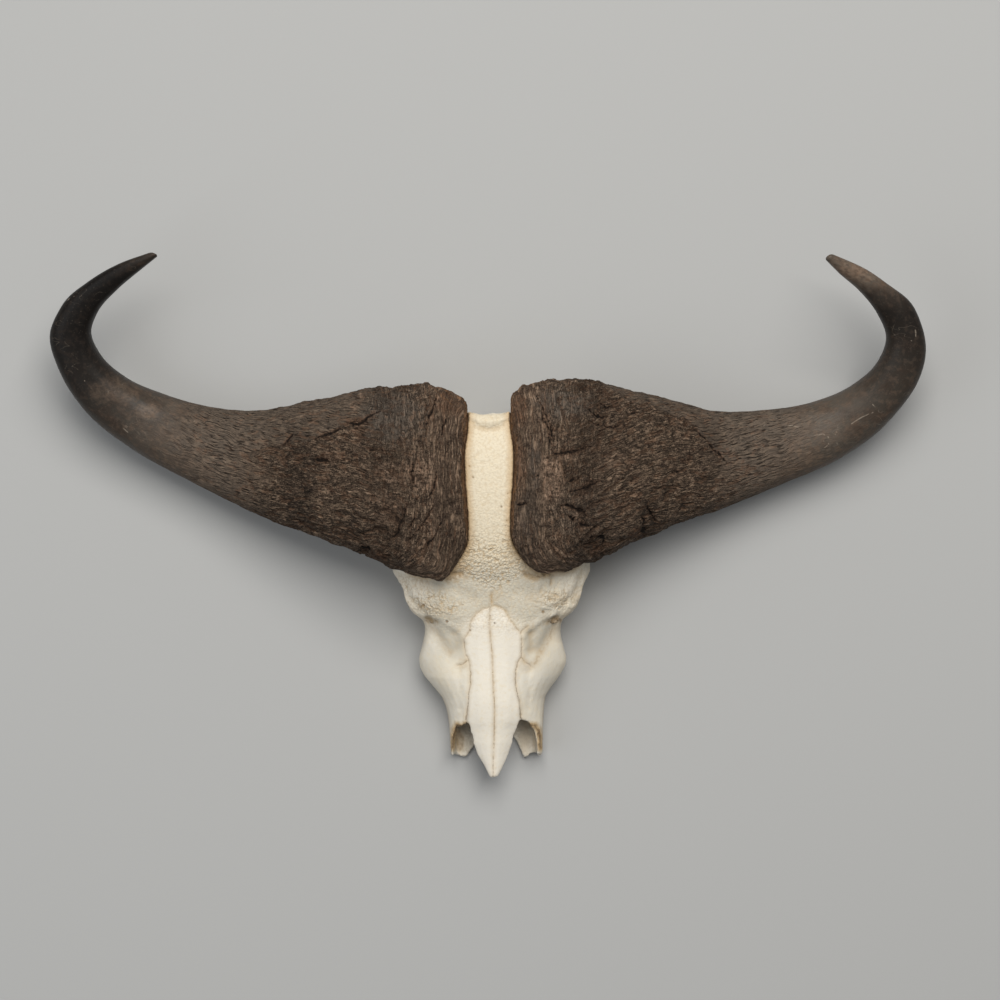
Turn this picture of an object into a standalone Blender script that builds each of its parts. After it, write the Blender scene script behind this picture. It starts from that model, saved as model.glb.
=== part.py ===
"""Cape buffalo skull: one piece of bone and two horn sheaths, lying on the skull's flat sawn back.

+X runs to the right, +Y from the nose toward the poll and the horn tips, and +Z up from the sawn face.
Both the skull and the horns are lofts between hand-measured sections. Their tables are in millimetres.
"""

import math

import bmesh
import bpy
import numpy as np
from mathutils import Matrix, Vector, noise

NAME = "cape_buffalo_skull"
MM = 0.001

# The skull turns a little about the poll, so that the nose points to the right of straight down
SKULL_YAW = math.radians(0.56)
SKULL_PIVOT = Vector((0.0, 0.142, 0.0))

# The midline's place, which brings the middle of the whole to the origin
BOX_CENTRE = Vector((0.0019, 0.0006, 0.0))

# Where two pieces meet, this much air stays between them
FIT_GAP = 0.0004

# Facets: sections along a loft, and points round one of its sections
HORN_SECTIONS, HORN_POINTS = 54, 20
SKULL_SECTIONS, SKULL_POINTS = 40, 25
CAVITY_SECTIONS = 20
NASAL_SECTIONS, NASAL_POINTS = 16, 7

# Horn sections, from the boss at the midline out to the tip. Each row is the edge toward the poll (x, y),
# the edge toward the nose (x, y), the height of the top, of the underside and of the two edges
HORN_LEFT = [
    (27, 139, 27, -34, 163, 104, 142),
    (46, 149, 45, -60, 174, 88, 136),
    (75, 155, 70, -70, 182, 70, 128),
    (118, 155, 111, -58, 181, 56, 118),
    (164, 147, 164, -35, 167, 42, 104),
    (222, 138, 232, -11, 140, 24, 80),
    (278, 129, 290, 11, 112, 12, 61),
    (336, 134, 358, 44, 95, 9, 51),
    (390, 149, 430, 84, 92, 16, 53),
    (433, 168, 481, 127, 102, 38, 69),
    (461, 194, 510, 176, 114, 62, 87),
    (470, 220, 518, 216, 125, 82, 103),
    (460, 243, 502, 249, 135, 98, 116),
    (435, 268, 471, 275, 145, 114, 130),
    (407, 289, 430, 297, 153, 130, 142),
    (387, 303, 396, 308, 158, 144, 151),
]
HORN_RIGHT = [
    (26, 144, 27, -28, 163, 104, 142),
    (44, 156, 44, -52, 174, 88, 136),
    (74, 163, 73, -63, 182, 70, 128),
    (118, 164, 115, -51, 181, 56, 118),
    (161, 153, 165, -28, 167, 42, 104),
    (215, 141, 225, -4, 140, 24, 80),
    (265, 129, 282, 14, 112, 12, 61),
    (329, 130, 353, 42, 95, 9, 51),
    (385, 139, 422, 73, 92, 16, 53),
    (432, 159, 476, 116, 102, 38, 69),
    (458, 183, 507, 161, 114, 62, 87),
    (468, 214, 514, 205, 125, 82, 103),
    (456, 240, 499, 246, 135, 98, 116),
    (431, 268, 465, 274, 145, 114, 130),
    (407, 286, 431, 294, 153, 130, 142),
    (392, 299, 400, 306, 158, 144, 151),
]
HORN_SQUARENESS = 2.35
BOSS_DOME, TIP_DOME = 4 * MM, 5 * MM
# The boss's inner end is hollow in plan: how far back it lies between its two corners, where it is
# deepest (-1 toward the nose, 1 toward the poll), and how far along the horn it fades
BOSS_HOLLOW, HOLLOW_MIDDLE, HOLLOW_END = 8 * MM, 0.4, 0.10

# Relief of the horns: broad lumps on the boss, and growth rings across the horn further out
BOSS_LUMPS, LUMP_SIZE = 6.5 * MM, 34 * MM
RING_HEIGHT, RING_PITCH = 2.4 * MM, 27 * MM
HOOK_START = 0.62

# Skull sections from the nose to the poll. Each row is y, the half-widths to the left and to the right,
# then the height of the top at the midline and four more points of the half-section, as (share of the
# half-width, height), and the share of the half-width that the sawn face keeps
SKULL = [
    (-285, 51, 60, 62, (0.42, 60), (0.80, 54), (0.95, 42), (1.0, 24), 0.97),
    (-266, 52, 60, 68, (0.42, 65), (0.78, 57), (0.94, 44), (1.0, 26), 0.97),
    (-247, 53, 61, 75, (0.44, 71), (0.74, 60), (0.93, 46), (1.0, 28), 0.97),
    (-230, 56, 62, 82, (0.46, 77), (0.72, 66), (0.92, 49), (1.0, 29), 0.96),
    (-216, 61, 64, 86, (0.46, 81), (0.74, 69), (0.92, 51), (1.0, 30), 0.95),
    (-203, 71, 72, 89, (0.42, 84), (0.72, 72), (0.90, 53), (1.0, 32), 0.93),
    (-190, 82, 82, 92, (0.38, 87), (0.66, 77), (0.88, 57), (1.0, 33), 0.91),
    (-174, 89, 90, 95, (0.36, 90), (0.62, 81), (0.86, 60), (1.0, 34), 0.90),
    (-158, 86, 87, 98, (0.38, 94), (0.65, 84), (0.88, 64), (1.0, 37), 0.91),
    (-142, 82, 83, 102, (0.42, 98), (0.72, 88), (0.91, 69), (1.0, 44), 0.94),
    (-124, 80, 83, 107, (0.46, 103), (0.76, 94), (0.94, 79), (1.0, 58), 0.93),
    (-113, 91, 94, 110, (0.44, 107), (0.75, 98), (0.93, 85), (1.0, 72), 0.86),
    (-99, 101, 105, 113, (0.42, 110), (0.70, 103), (0.91, 89), (1.0, 76), 0.82),
    (-84, 105, 107, 117, (0.42, 114), (0.70, 106), (0.91, 91), (1.0, 78), 0.82),
    (-70, 111, 113, 121, (0.42, 118), (0.69, 109), (0.91, 93), (1.0, 79), 0.79),
    (-58, 116, 116, 127, (0.42, 123), (0.69, 112), (0.91, 95), (1.0, 80), 0.77),
    (-40, 113, 113, 134, (0.40, 130), (0.70, 117), (0.92, 98), (1.0, 80), 0.78),
    (-20, 96, 96, 140, (0.42, 137), (0.76, 122), (0.95, 100), (1.0, 76), 0.84),
    (0, 86, 86, 145, (0.44, 143), (0.80, 128), (0.98, 104), (1.0, 74), 0.88),
    (30, 80, 80, 150, (0.44, 148), (0.80, 132), (0.98, 106), (1.0, 74), 0.92),
    (60, 80, 80, 152, (0.42, 150), (0.76, 134), (0.96, 106), (1.0, 74), 0.94),
    (90, 84, 84, 150, (0.40, 147), (0.72, 130), (0.93, 104), (1.0, 72), 0.97),
    (102, 86, 86, 147, (0.38, 143), (0.68, 124), (0.90, 98), (1.0, 68), 0.96),
    (113, 84, 84, 150, (0.36, 143), (0.64, 119), (0.88, 90), (1.0, 60), 0.94),
    (120, 77, 77, 146, (0.36, 138), (0.64, 112), (0.88, 82), (1.0, 54), 0.93),
    (124, 62, 62, 134, (0.36, 128), (0.64, 104), (0.88, 74), (1.0, 46), 0.92),
]
# The nape falls away below the crest: how far it is cut back at the floor, from which y on
NAPE_SLOPE, NAPE_START, CREST_HEIGHT = 26 * MM, 70 * MM, 140 * MM

# The hollow behind the face, open at the sawn back and at the nose. The rows are like the skull's, but
# the last point is the height of the floor ledge and the share of the half-width that stays open below it
CAVITY = [
    (-310, 46, 53, 52, (0.50, 50), (0.86, 44), (0.97, 34), (1.0, 20), (9, 0.40)),
    (-284, 46, 53, 54, (0.50, 51), (0.86, 45), (0.97, 35), (1.0, 20), (9, 0.40)),
    (-262, 46, 52, 60, (0.50, 56), (0.86, 48), (0.97, 37), (1.0, 20), (8, 0.45)),
    (-236, 48, 52, 70, (0.50, 65), (0.80, 54), (0.96, 40), (1.0, 22), (7, 0.60)),
    (-210, 57, 57, 78, (0.46, 73), (0.76, 60), (0.94, 42), (1.0, 22), (6, 0.85)),
    (-176, 76, 76, 86, (0.36, 81), (0.64, 70), (0.88, 48), (1.0, 24), (5, 0.92)),
    (-146, 72, 72, 92, (0.42, 88), (0.72, 76), (0.92, 54), (1.0, 30), (5, 0.98)),
    (-122, 60, 60, 97, (0.46, 92), (0.76, 80), (0.94, 58), (1.0, 34), (5, 0.98)),
    (-92, 52, 52, 100, (0.46, 95), (0.76, 82), (0.94, 60), (1.0, 34), (5, 0.98)),
    (-56, 56, 56, 98, (0.46, 93), (0.76, 80), (0.94, 60), (1.0, 34), (5, 0.98)),
    (-20, 62, 62, 92, (0.46, 88), (0.76, 76), (0.94, 58), (1.0, 34), (5, 0.98)),
    (30, 62, 62, 80, (0.46, 77), (0.76, 68), (0.94, 52), (1.0, 32), (5, 0.98)),
    (62, 58, 58, 70, (0.46, 67), (0.76, 58), (0.94, 44), (1.0, 28), (5, 0.98)),
    (82, 40, 40, 48, (0.46, 46), (0.76, 40), (0.94, 32), (1.0, 20), (5, 0.98)),
]

# Nasal bones: y, half-widths left and right, the height at the midline and at the edges
NASALS = [
    (-310, 4, 5, 58, 55),
    (-299, 9, 11, 61, 55),
    (-284, 18, 18, 65, 56),
    (-269, 23, 23, 70, 61),
    (-252, 27, 28, 76, 67),
    (-237, 29, 33, 82, 74),
    (-221, 29, 33, 87, 80),
    (-202, 27, 29, 91, 85),
    (-184, 25, 28, 95, 90),
    (-169, 27, 30, 98, 93),
    (-160, 31, 33, 100, 94),
    (-146, 33, 35, 103, 98),
    (-131, 30, 31, 107, 103),
    (-117, 24, 22, 110, 108),
    (-104, 5, 6, 113, 112),
]
NASAL_THICKNESS = 7 * MM

# The nose's open front, as corners (x, y) in plan. The roof is broken back to this line each side of the
# nasal bones, and the floor below it ends in a tongue along each wall
ROOF_EDGE = [
    (-47, -315), (-46, -284), (-43, -262), (-38, -247), (-31, -243), (-22, -247),
    (24, -245), (33, -240), (42, -243), (50, -256), (53, -272), (54, -315),
]
FLOOR_EDGE = [(-38, -300), (-33, -288), (-24, -277), (-14, -262), (14, -256), (25, -266), (39, -288), (44, -300)]
FLOOR_TOP, ROOF_TOP, BELOW = 22 * MM, 90 * MM, -6 * MM

# Eye sockets, which face sideways, and the bulge of bone that makes each one's rim
RIM_CENTRE = Vector((0.074, -0.085, 0.046))
RIM_RADII = Vector((0.032, 0.035, 0.038))
ORBIT_CENTRE = Vector((0.108, -0.085, 0.046))
ORBIT_RADII = Vector((0.046, 0.029, 0.030))
# The pit in front of each socket's upper rim
RIM_PIT_CENTRE = Vector((0.075, -0.119, 0.090))
RIM_PIT_RADII = Vector((0.006, 0.005, 0.012))

# The hollow for the jaw muscle behind each socket, under the horn
TEMPLE_CENTRE = Vector((0.112, 0.012, 0.040))
TEMPLE_RADII = Vector((0.040, 0.036, 0.032))


def clear_scene():
    """Remove every object that is in the file."""
    for old in list(bpy.data.objects):
        bpy.data.objects.remove(old, do_unlink=True)


def collection(name):
    """A new collection under the scene's own."""
    made = bpy.data.collections.new(name)
    bpy.context.scene.collection.children.link(made)
    return made


def empty(name, place, into):
    """A plain empty to hang parts on."""
    made = bpy.data.objects.new(name, None)
    made.location = place
    into.objects.link(made)
    return made


def material(name, colour, roughness):
    """A plain Principled material, seen in the viewport too."""
    made = bpy.data.materials.new(name)
    made.use_nodes = True
    shader = made.node_tree.nodes["Principled BSDF"]
    shader.inputs["Base Color"].default_value = (*colour, 1.0)
    shader.inputs["Roughness"].default_value = roughness
    shader.inputs["Metallic"].default_value = 0.0
    made.diffuse_color = (*colour, 1.0)
    return made


def smooth_rows(rows, count):
    """Spread count rows evenly along a smooth curve (Catmull-Rom) through the given rows."""
    rows = np.array(rows, float)
    steps = np.linalg.norm(np.diff(rows[:, :2], axis=0), axis=1)
    along = np.concatenate(([0.0], np.cumsum(steps)))
    slopes = np.gradient(rows, along, axis=0)
    out = []
    for place in np.linspace(0.0, along[-1], count):
        i = min(int(np.searchsorted(along, place, side="right")) - 1, len(rows) - 2)
        span = along[i + 1] - along[i]
        t = (place - along[i]) / span
        start = rows[i] * (2 * t**3 - 3 * t**2 + 1) + slopes[i] * span * (t**3 - 2 * t**2 + t)
        end = rows[i + 1] * (3 * t**2 - 2 * t**3) + slopes[i + 1] * span * (t**3 - t**2)
        out.append(start + end)
    return np.array(out)


def loft(name, rings, into, finish):
    """A closed body through rings of points, with a flat cap at both ends."""
    mesh = bpy.data.meshes.new(name)
    body = bmesh.new()
    loops = [[body.verts.new(point) for point in ring] for ring in rings]
    count = len(loops[0])
    for one, two in zip(loops, loops[1:]):
        for i in range(count):
            j = (i + 1) % count
            body.faces.new((one[i], one[j], two[j], two[i]))
    body.faces.new(loops[0][::-1])
    body.faces.new(loops[-1])
    bmesh.ops.recalc_face_normals(body, faces=body.faces)
    bmesh.ops.triangulate(body, faces=body.faces)
    body.to_mesh(mesh)
    body.free()
    if finish:
        mesh.materials.append(finish)
        mesh.shade_smooth()
        mesh.set_sharp_from_angle(angle=math.radians(40))
    made = bpy.data.objects.new(name, mesh)
    into.objects.link(made)
    return made


def power(value, exponent):
    """A signed power, for superellipse sections."""
    return math.copysign(abs(value) ** exponent, value)


def horn_section(row, side, share):
    """The ring of points round a horn at one row of its table, mirrored to its side of the skull."""
    hollow = side * BOSS_HOLLOW * max(0.0, 1 - share / HOLLOW_END)
    upper = Vector((side * row[0], row[1], row[6])) * MM
    lower = Vector((side * row[2], row[3], row[6])) * MM
    middle = (upper + lower) / 2
    across = (upper - lower) / 2
    ring = []
    for i in range(HORN_POINTS):
        turn = 2 * math.pi * i / HORN_POINTS
        over = power(math.cos(turn), 2 / HORN_SQUARENESS)
        rise = power(math.sin(turn), 2 / HORN_SQUARENESS)
        height = (row[4] - row[6]) if rise > 0 else (row[6] - row[5])
        reach = (1 - HOLLOW_MIDDLE) if over > HOLLOW_MIDDLE else (1 + HOLLOW_MIDDLE)
        back = hollow * (1 - ((over - HOLLOW_MIDDLE) / reach) ** 2)
        ring.append(middle + across * over + Vector((back, 0, rise * height * MM)))
    return ring


def ring_centre(ring):
    """The mean of a ring's points."""
    return sum(ring, Vector()) / len(ring)


def rounded_end(ring, onward, depth, steps):
    """Rings that close a horn's end as a low dome, reaching depth past the given ring."""
    centre = ring_centre(ring)
    dome = []
    for i in range(1, steps + 1):
        turn = 0.5 * math.pi * i / (steps + 0.35)
        shift = onward * depth * math.sin(turn)
        size = 1 - (1 - math.cos(turn)) * 0.85
        dome.append([centre + (point - centre) * size + shift for point in ring])
    return dome


def horn_relief(point, centre, share):
    """How far a point of the horn stands proud: lumps on the boss, then rings that fade into the hook."""
    boss = max(0.0, 1 - share / 0.45)
    lumps = noise.fractal(point / LUMP_SIZE, 0.6, 2.0, 3) * BOSS_LUMPS * boss
    waver = 6 * MM * noise.noise(point / (60 * MM))
    ring = abs(math.sin(math.pi * (abs(centre.x) + waver) / RING_PITCH))
    fade = min(1.0, share / 0.12) * max(0.0, 1 - share / HOOK_START)
    return lumps + (ring - 0.6) * RING_HEIGHT * fade


def horn(name, table, side, into, finish):
    """One horn sheath, lofted from its boss to its tip, with its ends rounded and its surface lumpy."""
    rows = smooth_rows(table, HORN_SECTIONS)
    shares = [number / (len(rows) - 1) for number in range(len(rows))]
    rings = [horn_section(row, side, share) for row, share in zip(rows, shares)]
    for ring, share in zip(rings, shares):
        centre = ring_centre(ring)
        for i, point in enumerate(ring):
            outward = (point - centre).normalized()
            ring[i] = point + outward * horn_relief(point, centre, share)
    inward = Vector((-side, 0, 0))
    tipward = (ring_centre(rings[-1]) - ring_centre(rings[-2])).normalized()
    start = rounded_end(rings[0], inward, BOSS_DOME, 3)[::-1]
    tip = rounded_end(rings[-1], tipward, TIP_DOME, 2)
    return loft(name, start + rings + tip, into, finish)


def half_outline(row, top, points, foot):
    """The left and right halves of a skull section, as a smooth line of (x, z) from foot to foot."""
    left, right = row[1] * MM, row[2] * MM
    corners = [(0.0, top)] + list(points) + foot
    corners = np.array(corners, float)
    spaced = smooth_rows(corners * np.array([row[2], 1.0]), SKULL_POINTS // 2 + 1)
    shares = spaced[:, 0] / row[2]
    heights = np.maximum(spaced[:, 1], 0.0) * MM
    right_half = [(share * right, height) for share, height in zip(shares, heights)]
    left_half = [(-share * left, height) for share, height in zip(shares, heights)]
    return left_half[:0:-1] + right_half


def skull_shell(into, finish):
    """The outer form of the skull, solid, with its flat sawn face at the floor."""
    flat = [(r[0], r[1], r[2], r[3], *r[4], *r[5], *r[6], *r[7], r[8]) for r in SKULL]
    rings = []
    for row in smooth_rows(flat, SKULL_SECTIONS):
        points = [row[4:6], row[6:8], row[8:10], row[10:12]]
        foot = [(row[12], 0.0)]
        outline = half_outline(row, row[3], points, foot)
        y = row[0] * MM
        back = max(0.0, (y - NAPE_START) / (SKULL[-1][0] * MM - NAPE_START)) * NAPE_SLOPE
        rings.append([Vector((x, y - back * max(0.0, 1 - z / CREST_HEIGHT), z)) for x, z in outline])
    return loft("skull", rings, into, finish)


def cavity(into):
    """The hollow inside the skull, run down through the sawn face."""
    flat = [(r[0], r[1], r[2], r[3], *r[4], *r[5], *r[6], *r[7], *r[8]) for r in CAVITY]
    rings = []
    for row in smooth_rows(flat, CAVITY_SECTIONS):
        left, right = row[1] * MM, row[2] * MM
        half = [(0.0, row[3])]
        half += [tuple(row[i : i + 2]) for i in (4, 6, 8, 10)]
        half += [(0.97, row[12] + 4), (row[13], row[12]), (row[13], BELOW / MM)]
        line = [(-share * left, height * MM) for share, height in half[:0:-1]]
        line += [(share * right, height * MM) for share, height in half]
        rings.append([Vector((x, row[0] * MM, z)) for x, z in line])
    return loft("cavity", rings, into, None)


def nasal_plate(into):
    """The nasal bones: an arched plate that runs out past the walls of the nose to a point."""
    rings = []
    for y, left, right, top, edge in smooth_rows(NASALS, NASAL_SECTIONS):
        upper, lower = [], []
        for i in range(NASAL_POINTS):
            share = 2 * i / (NASAL_POINTS - 1) - 1
            x = share * (right if share > 0 else left) * MM
            z = (edge + (top - edge) * (1 - share**2)) * MM
            thin = NASAL_THICKNESS * (0.55 + 0.45 * (1 - share**2))
            upper.append(Vector((x, y * MM, z)))
            lower.append(Vector((x, y * MM, z - thin)))
        rings.append(upper + lower[::-1])
    return loft("nasal_plate", rings, into, None)


def prism(name, corners, bottom, top, into):
    """An upright prism on corners given in plan, for a cutter."""
    rings = [[Vector((x * MM, y * MM, z)) for x, y in corners] for z in (bottom, top)]
    return loft(name, rings, into, None)


def ellipsoid(name, centre, radii, side, into):
    """An ellipsoid cutter on one side of the skull."""
    mesh = bpy.data.meshes.new(name)
    body = bmesh.new()
    bmesh.ops.create_uvsphere(body, u_segments=18, v_segments=12, radius=1.0)
    place = Matrix.Translation((side * centre.x, centre.y, centre.z)) @ Matrix.Diagonal((*radii, 1.0))
    bmesh.ops.transform(body, matrix=place, verts=body.verts)
    body.to_mesh(mesh)
    body.free()
    made = bpy.data.objects.new(name, mesh)
    into.objects.link(made)
    return made


def grown_copy(source, by, into):
    """A cutter in the shape of a horn, larger by the fit gap on every side."""
    made = bpy.data.objects.new(source.name + "_saddle", source.data.copy())
    into.objects.link(made)
    grow = made.modifiers.new("gap", "DISPLACE")
    grow.mid_level = 0.0
    grow.strength = by
    return made


def cut(target, cutter, operation="DIFFERENCE"):
    """Add a Boolean to the target and keep the cutter out of sight."""
    step = target.modifiers.new(cutter.name, "BOOLEAN")
    step.operation = operation
    step.solver = "EXACT"
    step.object = cutter
    cutter.hide_render = True
    cutter.display_type = "WIRE"


def build():
    """Make the skull and both horns."""
    clear_scene()
    parts = collection(NAME)
    cutters = collection("cutters")
    bone = material("bone", (0.72, 0.66, 0.55), 0.75)
    sheath = material("horn_sheath", (0.05, 0.038, 0.03), 0.5)

    centre = empty("midline", BOX_CENTRE, parts)
    axis = empty("skull_axis", SKULL_PIVOT, parts)
    axis.rotation_euler = (0, 0, SKULL_YAW)
    axis.parent = centre

    skull = skull_shell(parts, bone)
    hollows = [
        cavity(cutters),
        prism("roof_break", ROOF_EDGE, FLOOR_TOP, ROOF_TOP, cutters),
        prism("floor_break", FLOOR_EDGE, BELOW, FLOOR_TOP + 2 * MM, cutters),
    ]
    rims = []
    for side, word in ((-1, "left"), (1, "right")):
        rims.append(ellipsoid("rim_" + word, RIM_CENTRE, RIM_RADII, side, cutters))
        hollows.append(ellipsoid("orbit_" + word, ORBIT_CENTRE, ORBIT_RADII, side, cutters))
        hollows.append(ellipsoid("rim_pit_" + word, RIM_PIT_CENTRE, RIM_PIT_RADII, side, cutters))
        hollows.append(ellipsoid("temple_" + word, TEMPLE_CENTRE, TEMPLE_RADII, side, cutters))
    nasals = nasal_plate(cutters)
    for shape in [skull, *rims, *hollows, nasals]:
        shape.parent = axis
        shape.matrix_parent_inverse = Matrix.Translation(-SKULL_PIVOT)
    for rim in rims:
        cut(skull, rim, "UNION")
    for hollow in hollows:
        cut(skull, hollow)
    cut(skull, nasals, "UNION")

    for name, table, side in (("horn_left", HORN_LEFT, -1), ("horn_right", HORN_RIGHT, 1)):
        made = horn(name, table, side, parts, sheath)
        saddle = grown_copy(made, FIT_GAP, cutters)
        made.parent = centre
        saddle.parent = centre
        cut(skull, saddle)


build()
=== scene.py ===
"""Looks of the cape buffalo skull: bleached bone and two weathered horn sheaths, lying on a pale floor.

Metres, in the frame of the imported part: +X to the right, +Y from the nose toward the poll, +Z up.
Cracks, seams and patches are placed in plan, in millimetres, as seen from above.
"""

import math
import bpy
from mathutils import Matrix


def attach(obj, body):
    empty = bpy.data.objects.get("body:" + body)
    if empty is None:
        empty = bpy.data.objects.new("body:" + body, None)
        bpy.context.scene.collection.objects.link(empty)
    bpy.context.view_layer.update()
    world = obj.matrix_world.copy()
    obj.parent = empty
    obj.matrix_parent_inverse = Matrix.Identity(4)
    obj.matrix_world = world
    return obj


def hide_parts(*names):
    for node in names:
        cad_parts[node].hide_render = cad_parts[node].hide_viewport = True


bl_info = {
    "name": "Cape Buffalo Skull",
    "version": (1, 0, 0),
    "blender": (4, 5, 0),
    "location": "View3D > Sidebar > Skull",
    "description": "Bleached bone and weathered horn sheaths for the cape buffalo skull",
    "category": "Object",
}

import bmesh
import bpy
import numpy as np
from bpy.props import FloatProperty, FloatVectorProperty, PointerProperty
from mathutils import Vector, noise
from mathutils.bvhtree import BVHTree

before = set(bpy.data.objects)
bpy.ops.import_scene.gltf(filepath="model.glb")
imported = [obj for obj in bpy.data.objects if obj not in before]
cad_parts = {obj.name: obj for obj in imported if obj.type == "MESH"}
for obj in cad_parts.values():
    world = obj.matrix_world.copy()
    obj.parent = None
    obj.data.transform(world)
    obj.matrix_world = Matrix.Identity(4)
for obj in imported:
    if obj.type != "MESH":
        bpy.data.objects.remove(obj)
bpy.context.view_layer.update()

MM = 0.001
BOX_CENTRE = np.array((0.0019, 0.0006, 0.0))

# Where the camera stands, its sensor in mm, the colour of the room's light, and the floor in metres
CAMERA_OVER = (0.0143, 0.0226)
SENSOR_WIDTH, NEAREST_VIEW = 36.0, 0.05
DAYLIGHT = (0.93, 0.96, 1.0)
FLOOR_REACH, FLOOR_DROP, FLOOR_ROUGHNESS = 6, 0.0002, 0.9

# Each light's place and size in metres, and its colour
LIGHTS = {
    "key_light": ((0.45, 1.9, 4.1), 2.8, (1.0, 0.98, 0.95)),
    "fill_light": ((-2.4, -0.6, 2.6), 2.4, DAYLIGHT),
}

# Horn sections, from the boss at the midline out to the tip, in mm. Each has the height of the top, of the
# underside and of the two edges, the same on both sides, and the edges toward the poll and the nose (x, y)
HORN_HEIGHTS = [
    (163, 104, 142), (174, 88, 136), (182, 70, 128), (181, 56, 118), (167, 42, 104), (140, 24, 80),
    (112, 12, 61), (95, 9, 51), (92, 16, 53), (102, 38, 69), (114, 62, 87), (125, 82, 103), (135, 98, 116),
    (145, 114, 130), (153, 130, 142), (158, 144, 151),
]
HORN_LEFT = [
    (27, 139, 27, -34), (46, 149, 45, -60), (75, 155, 70, -70), (118, 155, 111, -58), (164, 147, 164, -35),
    (222, 138, 232, -11), (278, 129, 290, 11), (336, 134, 358, 44), (390, 149, 430, 84),
    (433, 168, 481, 127), (461, 194, 510, 176), (470, 220, 518, 216), (460, 243, 502, 249),
    (435, 268, 471, 275), (407, 289, 430, 297), (387, 303, 396, 308),
]
HORN_RIGHT = [
    (26, 144, 27, -28), (44, 156, 44, -52), (74, 163, 73, -63), (118, 164, 115, -51), (161, 153, 165, -28),
    (215, 141, 225, -4), (265, 129, 282, 14), (329, 130, 353, 42), (385, 139, 422, 73), (432, 159, 476, 116),
    (458, 183, 507, 161), (468, 214, 514, 205), (456, 240, 499, 246), (431, 268, 465, 274),
    (407, 286, 431, 294), (392, 299, 400, 306),
]
HORN_SQUARENESS = 2.35
BOSS_DOME, TIP_DOME = 4 * MM, 5 * MM
BOSS_HOLLOW, HOLLOW_MIDDLE, HOLLOW_END = 8 * MM, 0.4, 0.10
BOSS_LUMPS, LUMP_SIZE = 6.5 * MM, 34 * MM
LUMPS_END = 0.45
RING_HEIGHT, RING_PITCH = 2.4 * MM, 27 * MM
RING_START, HOOK_START = 0.12, 0.62
WAVER, WAVER_SIZE = 6 * MM, 60 * MM

# How the inner end and the tip are rounded off, and how the rim between the end and the boss is softened
BOSS_TURN = 0.5 * math.pi * 3 / 3.35
FLATTENING, TIP_SIZE = 0.85, 0.02
HUB_SIZES = (0.6, 0.3, 0.04)
RIM_INSIDE, RIM_OUTSIDE, RIM_ROUNDS = 16, 14, 46

# Rings along a horn, as (from, to, apart) in mm along its edge toward the poll, and points round a ring
HORN_RINGS = [(0, 50, 1.1), (50, 210, 1.5), (210, 400, 2.4), (400, 601, 5.0)]
TOP_POINTS, UNDER_POINTS = 190, 90
END_RINGS, TIP_RINGS = 26, 6

# The map that unrolls a sheath: its length and its width round the boss, in mm, and its share of the square
SHEATH_LENGTH, SHEATH_GIRTH = 800, 620
MAP_SHARE, MAP_EDGE, MAP_CENTRE = 0.96, 0.02, 0.5
CAP_PLACE = 0.01

# Smoothing of the bone: rounds and shares over all of it, then where it has to lie calm, and the share of
# faces that is spared where nobody looks
SMOOTH_ROUNDS, SMOOTH_IN, SMOOTH_OUT = 16, 0.55, 0.57
CALM_ROUNDS, CALM_SHARE = 45, 0.8
HIDDEN_SPARED = 0.85
BLUR_ROUNDS = 12

# Distance between the granules of the rough bone, and of a place that no mark is near, in mm
GRANULE_SIZE = 2.9
FAR_HORN, FAR_BONE = 20.0, 30.0

# How far off the bone and the horns are still looked for, in mm, and the y below which no horn is near
SEAT_REACH, HORN_REACH = 12, 60
FACE_END = -0.14

# The x of the skull's middle, at the strip and at the nose, in mm
MIDLINE, NOSE_LINE = 2, 7

# Where the rough outer layer of each sheath ends toward the poll: (distance from the midline, y)
ROUGH_EDGE = {
    "horn_left": [
        (0, 175), (100, 165), (124, 130), (148, 114), (180, 103), (201, 93), (240, 88), (300, 80), (380, 60),
    ],
    "horn_right": [
        (0, 185), (120, 172), (150, 146), (200, 130), (237, 113), (261, 88), (281, 70), (330, 58), (400, 40),
    ],
}

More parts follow.
